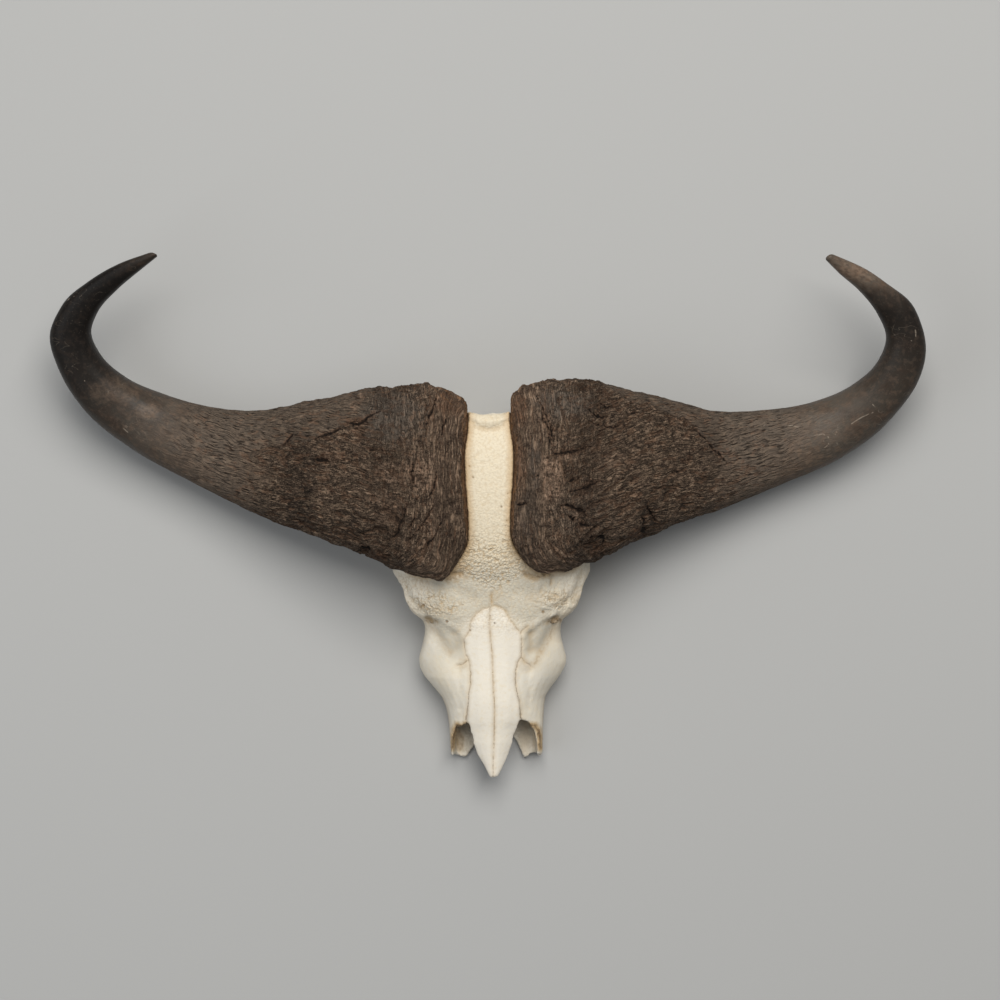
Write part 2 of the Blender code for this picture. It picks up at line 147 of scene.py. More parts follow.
# Long cracks of each sheath: width and depth in mm, then the corners of the crack (x, y)
CRACKS = {
    "horn_left": [
        (2.6, 2.4, [(-58, 150), (-60, 138), (-64, 126), (-68, 119), (-70, 109), (-71, 97)]),
        (2.8, 2.8, [(-86, 67), (-87, 55), (-86, 40)]),
        (3.2, 3.0, [(-92, 21), (-95, 9), (-101, -6), (-105, -18), (-116, -24)]),
        (2.4, 2.2, [(-58, 57), (-60, 40), (-65, 28), (-71, 25)]),
        (2.6, 2.0, [(-77, 29), (-82, 23)]),
        (3.6, 3.0, [(-124, 125), (-135, 122), (-148, 110), (-164, 111)]),
        (3.4, 2.8, [(-166, 107), (-180, 101), (-193, 97), (-201, 93)]),
        (4.5, 3.2, [(-204, 69), (-192, 69), (-181, 67)]),
        (2.2, 1.6, [(-45, 122), (-50, 109), (-52, 97)]),
        (2.4, 1.8, [(-65, -25), (-71, -29)]),
        (2.4, 1.8, [(-87, -20), (-93, -25)]),
        (3.4, 2.2, [(-227, 101), (-233, 94), (-240, 85)]),
        (2.2, 1.8, [(-60, 20), (-68, 4), (-78, -10), (-88, -20)]),
        (7.0, 3.0, [(-136, -34), (-143, -35), (-149, -32)]),
        (1.8, 1.4, [(-78, 18), (-84, 0), (-94, -16)]),
        (1.8, 1.4, [(-52, 0), (-60, -18), (-72, -34)]),
    ],
    "horn_right": [
        (2.2, 2.0, [(55, 146), (63, 129), (72, 109), (75, 89)]),
        (1.8, 1.4, [(60, 126), (69, 106), (73, 85)]),
        (3.0, 2.6, [(67, 71), (77, 75), (99, 78), (112, 82), (123, 85)]),
        (2.4, 1.8, [(125, 101), (144, 108)]),
        (3.6, 3.6, [(83, 17), (95, 15), (106, 10), (118, 3)]),
        (3.0, 2.8, [(89, 8), (100, -2), (112, -6), (121, -8)]),
        (2.6, 2.0, [(49, 48), (59, 51)]),
        (2.4, 1.8, [(33, 17), (48, 20)]),
        (3.0, 2.2, [(165, 123), (176, 124)]),
        (3.6, 2.8, [(184, 18), (190, 7), (197, -2)]),
        (3.0, 2.4, [(179, 6), (182, -8)]),
        (2.8, 2.2, [(92, 43), (112, 50)]),
        (2.8, 2.2, [(92, 31), (120, 40), (132, 46)]),
        (2.6, 2.0, [(212, 56), (230, 56)]),
        (3.4, 1.8, [(237, 113), (261, 87), (281, 67)]),
        (2.4, 2.0, [(110, 132), (121, 124), (131, 118), (140, 121)]),
        (2.2, 1.8, [(116, 113), (130, 108), (146, 106), (158, 110)]),
        (2.0, 1.6, [(128, 136), (138, 130), (150, 131)]),
    ],
}

# Pale scratches on the smooth horn (x, y)
SCRATCHES = {
    "horn_left": [
        [(-493, 254), (-488, 258), (-482, 260)], [(-432, 107), (-426, 102)], [(-475, 164), (-474, 158)],
    ],
    "horn_right": [
        [(429, 112), (436, 117), (445, 122), (457, 127)], [(387, 99), (397, 101), (403, 97), (404, 89)],
        [(398, 84), (402, 87)], [(414, 106), (411, 99), (414, 89)], [(351, 110), (360, 111), (369, 108)],
        [(498, 225), (502, 218), (500, 211), (491, 207)], [(454, 136), (457, 131)],
    ],
}

# Places where the outline of a sheath is broken: x, y, radius along and across, depth, in mm
BREAKS = {
    "horn_left": [(-142, -37, 9, 6, 6.0)],
    "horn_right": [(133, -22, 12, 5, 3.0), (183, -14, 7, 8, 2.5)],
}

# Patches of colour on each sheath: x, y, radius along and across, strength
TAN_PATCHES = {
    "horn_left": [
        (-106, 55, 20, 9, 1.5), (-77, 51, 12, 15, 0.8), (-116, 9, 14, 18, 0.9), (-146, 144, 5, 5, 0.5),
        (-155, 131, 5, 5, 0.5), (-181, 76, 8, 5, 0.4), (-440, 152, 26, 14, 0.10), (-402, 128, 12, 8, 0.18),
    ],
    "horn_right": [
        (73, 57, 12, 14, 1.0), (74, 33, 10, 13, 0.9), (89, 72, 9, 5, 1.0), (106, 3, 12, 5, 0.5),
        (150, 70, 30, 16, 0.3), (424, 288, 34, 13, 0.22),
    ],
}
RUST_PATCHES = {
    "horn_left": [
        (-44, 134, 15, 13, 0.7), (-154, 114, 11, 5, 0.9), (-126, -42, 9, 5, 1.0), (-181, 72, 14, 6, 0.4),
    ],
    "horn_right": [(36, 127, 9, 18, 0.8), (174, -14, 9, 6, 1.0), (127, -34, 9, 6, 0.8), (36, 60, 7, 30, 0.6)],
}
GREY_PATCHES = {
    "horn_left": [(-108, 118, 34, 26, 0.9), (-376, 96, 45, 22, 0.15), (-374, 133, 12, 8, 0.3)],
    "horn_right": [
        (88, 134, 30, 18, 0.9), (55, 62, 7, 26, 0.6), (48, 5, 12, 34, 0.35), (105, 10, 34, 22, 0.3),
        (370, 105, 50, 22, 0.3), (428, 141, 26, 16, 0.2),
    ],
}
DARK_PATCHES = {
    "horn_left": [
        (-220, 45, 20, 62, 0.75), (-46, -20, 16, 30, 0.5), (-150, -8, 30, 16, 0.4), (-193, 68, 16, 7, 0.6),
        (-52, 30, 9, 46, 0.3),
    ],
    "horn_right": [
        (262, 84, 12, 34, 0.5), (120, -32, 26, 12, 0.5), (48, -30, 10, 26, 0.5), (190, 8, 12, 18, 0.5),
        (53, 34, 9, 44, 0.4),
    ],
}

# How pale the smooth outer horn is, from 0, black, to 1, grey-brown: (mm from the boss's rim, tone)
TONES = {
    "horn_left": [
        (300, 0.56), (350, 0.54), (420, 0.44), (455, 0.26), (490, 0.10), (530, 0.03), (650, 0.02),
        (704, 0.35),
    ],
    "horn_right": [
        (290, 0.64), (340, 0.84), (410, 0.74), (450, 0.50), (500, 0.30), (540, 0.16), (585, 0.08),
        (615, 0.30), (635, 0.90), (660, 1.0),
    ],
}

# Seams between the bones of the face (x, y)
SEAMS = {
    "nasal_left": [
        (4, -103), (-5, -105), (-13, -111), (-18, -117), (-21, -124), (-22, -132), (-28, -142), (-28, -151),
        (-26, -161), (-22, -170), (-21, -180), (-21, -197), (-23, -207), (-24, -222), (-26, -233),
        (-27, -241),
    ],
    "nasal_right": [
        (4, -103), (9, -101), (19, -106), (25, -116), (31, -125), (39, -134), (40, -143), (40, -163),
        (36, -169), (33, -180), (33, -195), (35, -207), (38, -219), (39, -232), (40, -243),
    ],
    "midline": [(2, -103), (2, -130), (5, -159), (6, -190), (8, -226), (7, -267), (6, -310)],
    "cheek_right": [(40, -164), (44, -170), (49, -172), (53, -176)],
    "cheek_left": [(-25, -168), (-31, -173), (-37, -174)],
    "forehead": [(5, -102), (4, -96), (5, -89)],
    "brow_right": [(39, -133), (46, -127)],
}

# Small holes in the bone: x, y, radius, depth, in mm
HOLES = [
    (-48, -120, 1.2, 1.2), (65, -109, 1.3, 1.4), (8, -122, 0.8, 0.9), (-76, -102, 1.6, 1.6),
    (-79, -104, 1.0, 1.0), (-21, -131, 0.8, 0.8), (25, -72, 1.0, 1.0), (16, 15, 0.8, 1.0),
    (-17, 49, 0.8, 0.9), (23, 30, 0.7, 0.8), (22, -1, 0.7, 0.8), (-21, 62, 0.7, 0.8), (-26, 60, 0.6, 0.6),
    (-20, 5, 0.6, 0.6), (-38, -47, 0.8, 0.8),
]

# Soft forms of the face: half-width and height in mm, share of brown colour, which is stain in the furrows
# and painted shade in the pits, under the bosses and below the brows beside the nose, then the form's line
# (x, y)
FORMS = [
    (9.0, -4.2, 0.0, [(-71, -126), (-63, -138), (-56, -148), (-48, -160)]),
    (9.0, -2.6, 0.0, [(-44, -139), (-40, -152)]),
    (5.0, 1.5, 0.0, [(-68, -114), (-55, -119), (-43, -125), (-34, -131), (-29, -140)]),
    (15.0, 3.2, 0.0, [(-80, -150), (-82, -164)]),
    (2.6, 1.5, 0.2, [(-112, -61), (-106, -73), (-99, -92), (-90, -106), (-82, -114), (-75, -120)]),
    (4.0, -1.4, 0.0, [(-104, -66), (-99, -75), (-92, -92), (-84, -104)]),
    (3.4, -2.4, 0.8, [(-47, -63), (-41, -65), (-31, -64)]),
    (2.4, 1.8, 0.2, [(-50, -68), (-46, -74)]),
    (9.0, -2.0, 0.0, [(-54, -83), (-36, -84), (-18, -94)]),
    (9.0, 2.0, 0.0, [(-87, -86), (-71, -97), (-54, -107), (-38, -113)]),
    (4.0, -1.3, 0.8, [(-73, -122), (-68, -122.5), (-62, -122)]),
    (9.0, -4.4, 0.0, [(82, -129), (76, -138), (70, -147), (64, -157)]),
    (7.0, -3.6, 0.1, [(50, -137), (53, -147), (53, -155)]),
    (4.6, 2.0, 0.0, [(44, -138), (49, -130), (57, -122), (68, -116), (78, -113)]),
    (15.0, 3.2, 0.0, [(90, -152), (93, -164)]),
    (2.8, 1.7, 0.4, [(122, -57), (116, -72), (109, -89), (101, -103), (93, -112), (86, -120)]),
    (4.0, -1.6, 0.1, [(113, -60), (108, -72), (100, -88), (93, -100)]),
    (9.0, 2.4, 0.0, [(67, -98), (80, -92), (95, -84), (106, -76)]),
    (4.2, -1.5, 1.0, [(73, -121), (79, -122), (86, -122)]),
    (2.6, 3.0, 0.3, [(60, -66), (64, -63)]),
    (2.4, 2.0, 0.3, [(69, -66), (75, -68)]),
    (1.4, -1.6, 0.6, [(66, -60), (67, -68)]),
    (1.4, -1.6, 0.4, [(75, -68), (74, -79)]),
    (3.4, 1.2, 0.0, [(58, -80), (58, -92)]),
    (3.6, -2.4, 0.9, [(45, -66), (52, -69), (57, -70)]),
    (9.0, -1.6, 0.0, [(36, -86), (52, -88)]),
    (1.3, -0.8, 0.5, [(6, -84), (4, -92), (5, -101)]),
    (2.2, -0.7, 0.0, [(2, -106), (5, -159), (8, -226), (7, -300)]),
    (6.0, 0.9, 0.0, [(-11, -125), (-10, -180), (-8, -240)]),
    (6.0, 0.9, 0.0, [(20, -125), (23, -180), (24, -240)]),
    (5.0, -1.2, 0.0, [(-33, -180), (-34, -225)]),
    (5.0, -1.2, 0.0, [(48, -180), (49, -225)]),
    # The next rows only colour: brown stain along the furrows, painted shade below the brows beside the nasal
    # bones, and stain with painted shade under the bosses
    (4.5, 0.0, 0.45, [(-70, -128), (-62, -138), (-56, -147), (-48, -160)]),
    (5.0, 0.0, 0.60, [(82, -130), (77, -139), (70, -150), (63, -162), (55, -172)]),
    (6.0, 0.0, 0.22, [(-34, -128), (-38, -140), (-34, -150)]),
    (6.0, 0.0, 0.32, [(48, -130), (52, -142), (50, -158)]),
    (4.0, 0.0, 1.00, [(42, -62), (50, -66), (58, -68), (66, -66)]),
    (3.0, 0.0, 1.00, [(-46, -68), (-40, -68), (-33, -64)]),
]

# Rough right brow, dotted left brow and left wing: x, y, radius along and across in mm, size of the full part
ROUGH_PLACES = [(82, -95, 24, 15, 0.6), (-60, -102, 30, 16, 0.6), (-88, -80, 22, 20, 0.7)]

# Brown stains on the bone, and painted shade in the pits before the orbits and under the bosses, where shadow
# falls: x, y, radius along and across, strength
STAINS_AND_SHADE = [
    (79, -121, 10, 4, 1.0), (-67, -121, 9, 4, 0.9), (72, -124, 6, 4, 0.6), (-78, -103, 5, 4, 0.6),
    (-100, -92, 5, 16, 0.15), (-41, -67, 8, 4, 1.0), (45, -263, 8, 14, 0.45), (-35, -268, 5, 14, 0.8),
    (-45, -66, 15, 8, 1.0), (-30, -58, 11, 7, 0.7), (52, -62, 12, 6, 0.7), (66, -64, 12, 5, 0.8),
    (-72, -74, 14, 9, 0.2), (-53, -147, 9, 6, 0.25), (76, -142, 8, 6, 0.3), (65, -151, 8, 6, 0.3),
    (103, -96, 7, 14, 0.45), (95, -116, 9, 6, 0.5), (84, -92, 16, 8, 0.45), (-62, -107, 18, 10, 0.3),
    (58, -92, 12, 9, 0.3), (50, -131, 6, 8, 0.35), (-28, -170, 6, 7, 0.3), (-20, 75, 5, 30, 0.35),
    (-24, -40, 7, 14, 0.4), (28, -40, 8, 12, 0.3), (25, 60, 4, 30, 0.3), (43, -172, 7, 9, 0.4),
    (8, -90, 8, 6, 0.3),
]

# The broken roof of the nose: heights of its wedge and size of its torn teeth, in mm, and then for each side
# its corners in plan, at the roof and lower down the wall
GAP_HEIGHTS, TORN_SIZE = (17, 46, 96), 2.6
NOSE_GAPS = [
    (
        [
            (-27, -252), (-27, -246), (-31, -248), (-37, -247), (-40, -253), (-42, -263), (-43, -276),
            (-44, -296), (-33, -296),
        ],
        [
            (-28, -250), (-29, -249), (-31, -249), (-34, -249), (-36, -254), (-37, -263), (-38, -277),
            (-39, -296), (-33, -296),
        ],
    ),
    (
        [
            (40, -252), (40, -246), (45, -249), (50, -247), (56, -248), (60, -254), (62, -262), (63, -276),
            (63, -296), (52, -296),
        ],
        [
            (42, -250), (43, -248), (46, -248), (49, -248), (53, -249), (56, -254), (57, -263), (58, -277),
            (58, -296), (52, -296),
        ],
    ),
]


def ease(value, start, end):
    """0 at start, 1 at end, and a soft slope between them. Start may be above end."""
    t = np.clip((value - start) / (end - start), 0.0, 1.0)
    return t * t * (3 - 2 * t)


def wander(points, size, octaves=2, seed=0.0):
    """Soft random values from about -1 to 1, which change over size: one number, or one for each axis."""
    at = (points / np.asarray(size, float) + seed).tolist()
    return np.array([noise.fractal(p, 0.8, 2.0, octaves) for p in at])


def fissures(points, size, width, seed, octaves=2):
    """Thin winding lines, 1 in the middle of a line and 0 off it, that run the long way of size."""
    return np.clip(1 - np.abs(wander(points, size, octaves, seed)) / width, 0.0, 1.0)


def line_distance(plan, corners):
    """How far each point in plan is from a line of corners, and how far along the line, from 0 to 1."""
    corners = np.array(corners, float)
    lengths = np.linalg.norm(np.diff(corners, axis=0), axis=1)
    passed = np.concatenate(([0.0], np.cumsum(lengths)))
    nearest = np.full(len(plan), 1e9)
    along = np.zeros(len(plan))
    for number, (one, two) in enumerate(zip(corners, corners[1:])):
        share = np.clip((plan - one) @ (two - one) / lengths[number] ** 2, 0.0, 1.0)
        far = np.linalg.norm(plan - (one + share[:, None] * (two - one)), axis=1)
        closer = far < nearest
        nearest[closer] = far[closer]
        along[closer] = (passed[number] + share[closer] * lengths[number]) / passed[-1]
    return nearest, along


def spots(plan, patches, edge):
    """Soft patches at the given places, with an uneven edge, from 0 to 1."""
    total = np.zeros(len(plan))
    for x, y, wide, high, strength in patches:
        far = np.hypot((plan[:, 0] - x) / wide, (plan[:, 1] - y) / high)
        total = np.maximum(total, strength * ease(far + edge, 1.5, 0.5))
    return total


def smooth_rows(rows, shares):
    """Rows at the given shares of a smooth curve (Catmull-Rom) through the given rows."""
    rows = np.array(rows, float)
    steps = np.linalg.norm(np.diff(rows[:, :2], axis=0), axis=1)
    along = np.concatenate(([0.0], np.cumsum(steps)))
    slopes = np.gradient(rows, along, axis=0)
    places = np.asarray(shares) * along[-1]
    i = np.clip(np.searchsorted(along, places, side="right") - 1, 0, len(rows) - 2)
    span = (along[i + 1] - along[i])[:, None]
    t = (places - along[i])[:, None] / span
    start = rows[i] * (2 * t**3 - 3 * t**2 + 1) + slopes[i] * span * (t**3 - 2 * t**2 + t)
    end = rows[i + 1] * (3 * t**2 - 2 * t**3) + slopes[i + 1] * span * (t**3 - t**2)
    return start + end


def signed_power(values, exponent):
    """A power that keeps the sign, for superellipse sections."""
    return np.sign(values) * np.abs(values) ** exponent


def horn_sections(rows, shares, turns, side):
    """The rings of points round a horn at the rows of its table, mirrored to its side of the skull."""
    rows = rows[:, None, :]
    shares = shares[:, None]
    over = signed_power(np.cos(turns), 2 / HORN_SQUARENESS)[None, :]
    rise = signed_power(np.sin(turns), 2 / HORN_SQUARENESS)[None, :]
    hollow = side * BOSS_HOLLOW * np.maximum(0.0, 1 - shares / HOLLOW_END)
    reach = np.where(over > HOLLOW_MIDDLE, 1 - HOLLOW_MIDDLE, 1 + HOLLOW_MIDDLE)
    back = hollow * (1 - ((over - HOLLOW_MIDDLE) / reach) ** 2)
    height = np.where(rise > 0, rows[..., 4] - rows[..., 6], rows[..., 6] - rows[..., 5])
    x = side * ((rows[..., 0] + rows[..., 2]) + (rows[..., 0] - rows[..., 2]) * over) / 2 * MM + back
    y = ((rows[..., 1] + rows[..., 3]) + (rows[..., 1] - rows[..., 3]) * over) / 2 * MM
    z = (rows[..., 6] + rise * height) * MM
    return np.stack(np.broadcast_arrays(x, y, z), axis=-1)


def broad_relief(points, centres, shares):
    """Lumps on the boss and growth rings further out, as a distance outward from the ring's centre."""
    flat = points.reshape(-1, 3)
    lumps = np.array([noise.fractal(p, 0.6, 2.0, 3) for p in (flat / LUMP_SIZE).tolist()])
    waver = WAVER * np.array([noise.noise(p) for p in (flat / WAVER_SIZE).tolist()])
    lumps = lumps.reshape(points.shape[:2])
    waver = waver.reshape(points.shape[:2])
    boss = np.maximum(0.0, 1 - shares / LUMPS_END)[:, None]
    ring = np.abs(np.sin(math.pi * (np.abs(centres[:, None, 0]) + waver) / RING_PITCH))
    ring = np.sqrt(ring**2 + 0.05)
    fade = (np.minimum(1.0, shares / RING_START) * np.maximum(0.0, 1 - shares / HOOK_START))[:, None]
    return lumps * BOSS_LUMPS * boss + (ring - 0.62) * 0.75 * RING_HEIGHT * fade


def grid_normals(grid):
    """Outward directions on a grid of rings."""
    along = np.gradient(grid, axis=0)
    around = np.roll(grid, -1, axis=1) - np.roll(grid, 1, axis=1)
    normals = np.cross(around, along)
    normals /= np.maximum(np.linalg.norm(normals, axis=2, keepdims=True), 1e-12)
    centres = grid.mean(axis=1, keepdims=True)
    middle = len(grid) // 2
    if np.sum(normals[middle] * (grid[middle] - centres[middle])) < 0:
        normals = -normals
    return normals


def horn_grid(table, side):
    """The smooth form of one horn as a grid of rings, from the middle of its inner end to its tip."""
    length = HORN_RINGS[-1][1]
    shares = np.concatenate([np.arange(*run) / length for run in HORN_RINGS] + [[1.0]])
    rows = smooth_rows(np.hstack((table, HORN_HEIGHTS)), shares)
    top = np.linspace(0, math.pi, TOP_POINTS, endpoint=False)
    under = np.linspace(math.pi, 2 * math.pi, UNDER_POINTS, endpoint=False)
    rings = horn_sections(rows, shares, np.concatenate((top, under)), side)
    even = np.linspace(0, 2 * math.pi, 20, endpoint=False)
    centres = horn_sections(rows, shares, even, side).mean(axis=1)
    outward = rings - centres[:, None]
    outward /= np.linalg.norm(outward, axis=2, keepdims=True)
    rings = rings + outward * broad_relief(rings, centres, shares)[..., None]

    inward = np.array((-side, 0.0, 0.0))
    dome = []
    for turn in np.linspace(0, BOSS_TURN, END_RINGS)[1:]:
        size = 1 - (1 - math.cos(turn)) * FLATTENING
        dome.append(centres[0] + (rings[0] - centres[0]) * size + inward * BOSS_DOME * math.sin(turn))
    last = dome[-1]
    hub = last.mean(axis=0)
    dome += [hub + (last - hub) * size for size in HUB_SIZES]

    tipward = centres[-1] - centres[-3]
    tipward /= np.linalg.norm(tipward)
    tip = []
    for turn in np.linspace(0, 0.5 * math.pi, TIP_RINGS + 1)[1:]:
        size = max(TIP_SIZE, 1 - (1 - math.cos(turn)) * FLATTENING)
        tip.append(centres[-1] + (rings[-1] - centres[-1]) * size + tipward * TIP_DOME * math.sin(turn))
    tip.append(centres[-1] + (rings[-1] - centres[-1]) * TIP_SIZE + tipward * TIP_DOME)
    grid = np.concatenate((np.array(dome[::-1]), rings, np.array(tip)))

    rim = len(dome)
    soften = np.zeros(len(grid))
    swell = np.linspace(0.1, math.pi - 0.1, RIM_INSIDE + RIM_OUTSIDE)
    soften[rim - RIM_INSIDE : rim + RIM_OUTSIDE] = np.sin(swell)
    for _ in range(RIM_ROUNDS):
        smoothed = grid.copy()
        smoothed[1:-1] = (grid[:-2] + 2 * grid[1:-1] + grid[2:]) / 4
        grid = grid + (smoothed - grid) * soften[:, None, None]
    return grid + BOX_CENTRE, rim


def horn_places(grid, rim):
    """For each point of the grid, in mm: how far along the horn from its rim, how far round from the top."""
    top = TOP_POINTS // 2
    steps = np.linalg.norm(np.diff(grid[:, top], axis=0), axis=1)
    along = np.concatenate(([0.0], np.cumsum(steps)))
    along = (along - along[rim]) / MM
    sides = np.linalg.norm(np.roll(grid, -1, axis=1) - grid, axis=2)
    round_start = np.cumsum(sides, axis=1) - sides
    around = (round_start - round_start[:, top : top + 1]) / MM
    girth = sides.sum(axis=1) / MM
    seam = TOP_POINTS + UNDER_POINTS // 2
    around[:, seam + 1 :] -= girth[:, None]
    return np.broadcast_to(along[:, None], around.shape), around, girth, seam


def nearest_gap(points, trees, reach, least_y=-1.0):
    """How far each point is from the nearest surface, in mm, up to the reach, where it lies past least_y."""
    gap = np.full(len(points), float(reach))
    for number, point in enumerate(points.tolist()):
        if point[1] <= least_y:
            continue
        for tree in trees:
            found = tree.find_nearest(point, reach * MM)
            if found[0] is not None:
                gap[number] = min(gap[number], found[3] / MM)
    return gap


def weathering(name, side, grid, rim, bone_tree):
    """The fine relief of a sheath, and where its cracks, layers and patches lie."""
    looks = bpy.context.scene.buffalo_horns
    along, around, girth, seam = horn_places(grid, rim)
    shape = around.shape
    flat = grid.reshape(-1, 3) / MM
    plan = flat[:, :2]
    s, w = along.ravel(), around.ravel()
    edge = np.repeat(around[:, TOP_POINTS], shape[1])
    upward = grid_normals(grid)[..., 2].ravel()
    top = ease(upward, -0.15, 0.35)
    out, y = np.abs(flat[:, 0]), flat[:, 1]

    # Uneven values, and the distance from the rim with a soft corner at the lower edge
    bend = wander(flat, 20, 2, 3.1)
    bend2 = wander(flat, 14, 2, 7.7)
    jag = wander(flat, 4.5, 2, 13.9)
    patchy = wander(flat, 26, 2, 11.3)
    inner = np.maximum(s, 0.0)
    lower = np.maximum(edge - w, 0.0) + np.maximum(0.0, s - 55) * 1.2
    follow = -13 * np.log(np.exp(-inner / 13) + np.exp(-lower / 13))
    follow = np.where(s < 0, s, follow) + 2.5 * bend

    # Where each kind of horn lies: the rough layer, the band along the bone, bark, and fine lines
    line = np.array(ROUGH_EDGE[name], float)
    inside = np.interp(out, line[:, 0], line[:, 1]) - y + 5 * bend
    rough = ease(inside, -3, 4)
    band = ease(follow, 54, 34)
    ragged = ease(follow, 24, 44) * ease(s + 10 * patchy, 135, 90)
    calm = spots(plan, GREY_PATCHES[name][:1], 0.25 * bend)
    chop = ease(follow, 46, 84) * ease(s + 16 * bend, 320, 215)
    chop *= (0.30 + 0.70 * rough) * (1 - 0.75 * calm)
    lines = ease(s, 60, 110) * ease(s + 0.35 * w + 18 * bend, 440, 300)

    # The cuts of each kind of horn, along its own grain
    lean = (0.42 if side > 0 else 0.10) * (150 * np.tanh(s / 150)) + 3.0 * bend
    grain = np.stack((s + 5 * bend2, w + lean, 0 * s), axis=1)
    skin = np.stack((follow, (w - s) * 0.7, (w + s) * 0.2), axis=1)
    fibres = ease(wander(skin, (2.7, 40, 40), 2, 1.7), -0.05, -0.5)
    splits = fissures(skin + 1.6 * jag[:, None], (11, 30, 30), 0.10, 9.2) * ease(patchy, -0.35, 0.25)
    bark = ease(wander(grain, (13, 4.6, 9), 2, 2.3), -0.10, -0.45)
    plates = wander(grain, (34, 12, 20), 2, 6.1)
    pits = ease(wander(flat, (7.0, 5.0, 6.0), 2, 5.2), -0.25, -0.6) * ease(patchy, 0.3, -0.2)
    crumble = wander(flat, (5.0, 3.5, 4.0), 2, 8.8)

    dent = band * 0.7 * fibres
    dent += ragged * (1.6 * splits + 0.9 * pits + 0.5 * fibres)
    dent += chop * (1.4 * bark + 0.8 * pits)
    dent += lines * (1 - chop) * 0.6 * bark
    dent *= looks.crack_depth

    # Long cracks, from the table
    split = np.full(len(plan), FAR_HORN)
    for width, depth, corners in CRACKS[name]:
        far, passed = line_distance(plan + 2.0 * jag[:, None] + 0.8 * crumble[:, None], corners)
        taper = np.clip(np.minimum(passed, 1 - passed) * 4 + 0.2, 0.0, 1.0)
        thin = 0.34 * width * (0.9 + 0.6 * bend2) * taper
        dent += top * 0.8 * depth * taper * np.clip(1.3 - far / np.maximum(2.2 * thin, 0.8), 0.0, 1.0)
        split = np.minimum(split, far - thin)
    split = np.where(top > 0.3, split, FAR_HORN)

    # Height of the whole: cuts, the rough layer's step, plates, crumbs and broken places
    relief = -dent + rough * ease(s, 90, 130) * ease(s, 300, 220) * 1.3
    relief += 1.2 * plates * np.maximum(chop, 0.5 * ragged)
    relief += crumble * (0.12 + 0.75 * chop + 0.65 * ragged + 0.6 * ease(follow, 40, 15))
    for x, y0, wide, high, depth in BREAKS[name]:
        far = np.hypot((plan[:, 0] - x) / wide, (plan[:, 1] - y0) / high)
        hit = ease(far + 0.3 * jag, 1.2, 0.3)
        relief -= depth * hit
        split = np.minimum(split, 6 * (0.93 - hit))
    relief *= ease(upward, -0.75, -0.2) * ease(s, -22, -8)

    scratch = np.full(len(plan), FAR_HORN)
    for corners in SCRATCHES[name]:
        far, _ = line_distance(plan + 0.5 * jag[:, None], corners)
        scratch = np.where(top > 0.3, np.minimum(scratch, far), scratch)

    gap = nearest_gap(grid.reshape(-1, 3), [bone_tree], SEAT_REACH)
    uneven = 0.35 * bend + 0.35 * crumble
    tones = np.array(TONES[name], float)
    curl = 0.9 * ease(upward + 0.1 * jag, 0.60, 0.30) * ease(upward, -0.4, -0.1)
    curl = curl * ease(s, 40, 25) * ease(y, -40, -10)
    marks = {
        **dict(split=split, dent=dent, scratch=scratch, band=band, ragged=ragged, chop=chop, lines=lines),
        **dict(follow=follow, lean=lean),
        "tan": spots(plan, TAN_PATCHES[name], uneven) * top,
        "rust": spots(plan, RUST_PATCHES[name], uneven) * top,
        "grey": spots(plan, GREY_PATCHES[name], uneven) * top,
        "dark": spots(plan, DARK_PATCHES[name], uneven),
        "smooth": ease(s + 0.15 * w + 14 * bend, 305, 420),
        "tone": np.interp(s + 10 * bend, tones[:, 0], tones[:, 1]),
        "rim": np.maximum(ease(gap + 0.8 * bend2 + 0.8 * jag, 4.2, 0.8), curl) * ease(s, 120, 80),
    }
    moved = grid + grid_normals(grid) * (relief * MM).reshape(*shape, 1)
    return moved, marks, (along, around, girth, seam)


def write_marks(mesh, marks):
    """Keep each mark on the mesh's points, for the material to read."""
    for word, values in marks.items():
        layer = mesh.attributes.new(word, "FLOAT", "POINT")
        layer.data.foreach_set("value", values.astype(np.float32))


def link_new(name, data):
    """A new object in the scene."""
    made = bpy.data.objects.new(name, data)
    bpy.context.scene.collection.objects.link(made)
    return made


def as_made(thing):
    """An object's mesh with its modifiers applied."""
    graph = bpy.context.evaluated_depsgraph_get()
    return bpy.data.meshes.new_from_object(thing.evaluated_get(graph))


def sheath_mesh(name, grid, marks, places):
    """A mesh from the grid, with the map that unrolls it and its marks as attributes."""
    along, around, girth, seam = places
    rings, count = grid.shape[:2]
    number = np.arange(rings * count).reshape(rings, count)
    nxt = np.roll(number, -1, axis=1)
    quads = np.stack((number[:-1], nxt[:-1], nxt[1:], number[1:]), axis=-1).reshape(-1, 4)
    inward = name == "horn_left"
    if inward:
        quads = quads[:, ::-1]
    mesh = bpy.data.meshes.new(name)
    faces = quads.tolist() + [number[0].tolist(), number[-1][::-1].tolist()]
    mesh.from_pydata(grid.reshape(-1, 3).tolist(), [], faces)
    uv = mesh.uv_layers.new(name="OFBake")
    u = MAP_EDGE + (along - along[0, 0]) / SHEATH_LENGTH * MAP_SHARE
    v = MAP_CENTRE + around / SHEATH_GIRTH * MAP_SHARE
    v_next = np.roll(v, -1, axis=1)
    last_step = (np.roll(around, -1, axis=1) + girth[:, None] - around)[:, seam]
    v_next[:, seam] = v[:, seam] + last_step / SHEATH_GIRTH * MAP_SHARE
    corner_u = np.stack((u[:-1], u[:-1], u[1:], u[1:]), axis=-1)
    corner_v = np.stack((v[:-1], v_next[:-1], v_next[1:], v[1:]), axis=-1)
    pairs = np.stack((corner_u, corner_v), axis=-1).reshape(-1, 4, 2)
    if inward:
        pairs = pairs[:, ::-1]
    caps = np.full((2 * count, 2), CAP_PLACE)
    uv.data.foreach_set("uv", np.concatenate((pairs.reshape(-1, 2), caps)).ravel().astype(np.float32))
    write_marks(mesh, marks)
    mesh.update()
    mesh.shade_smooth()
    return mesh


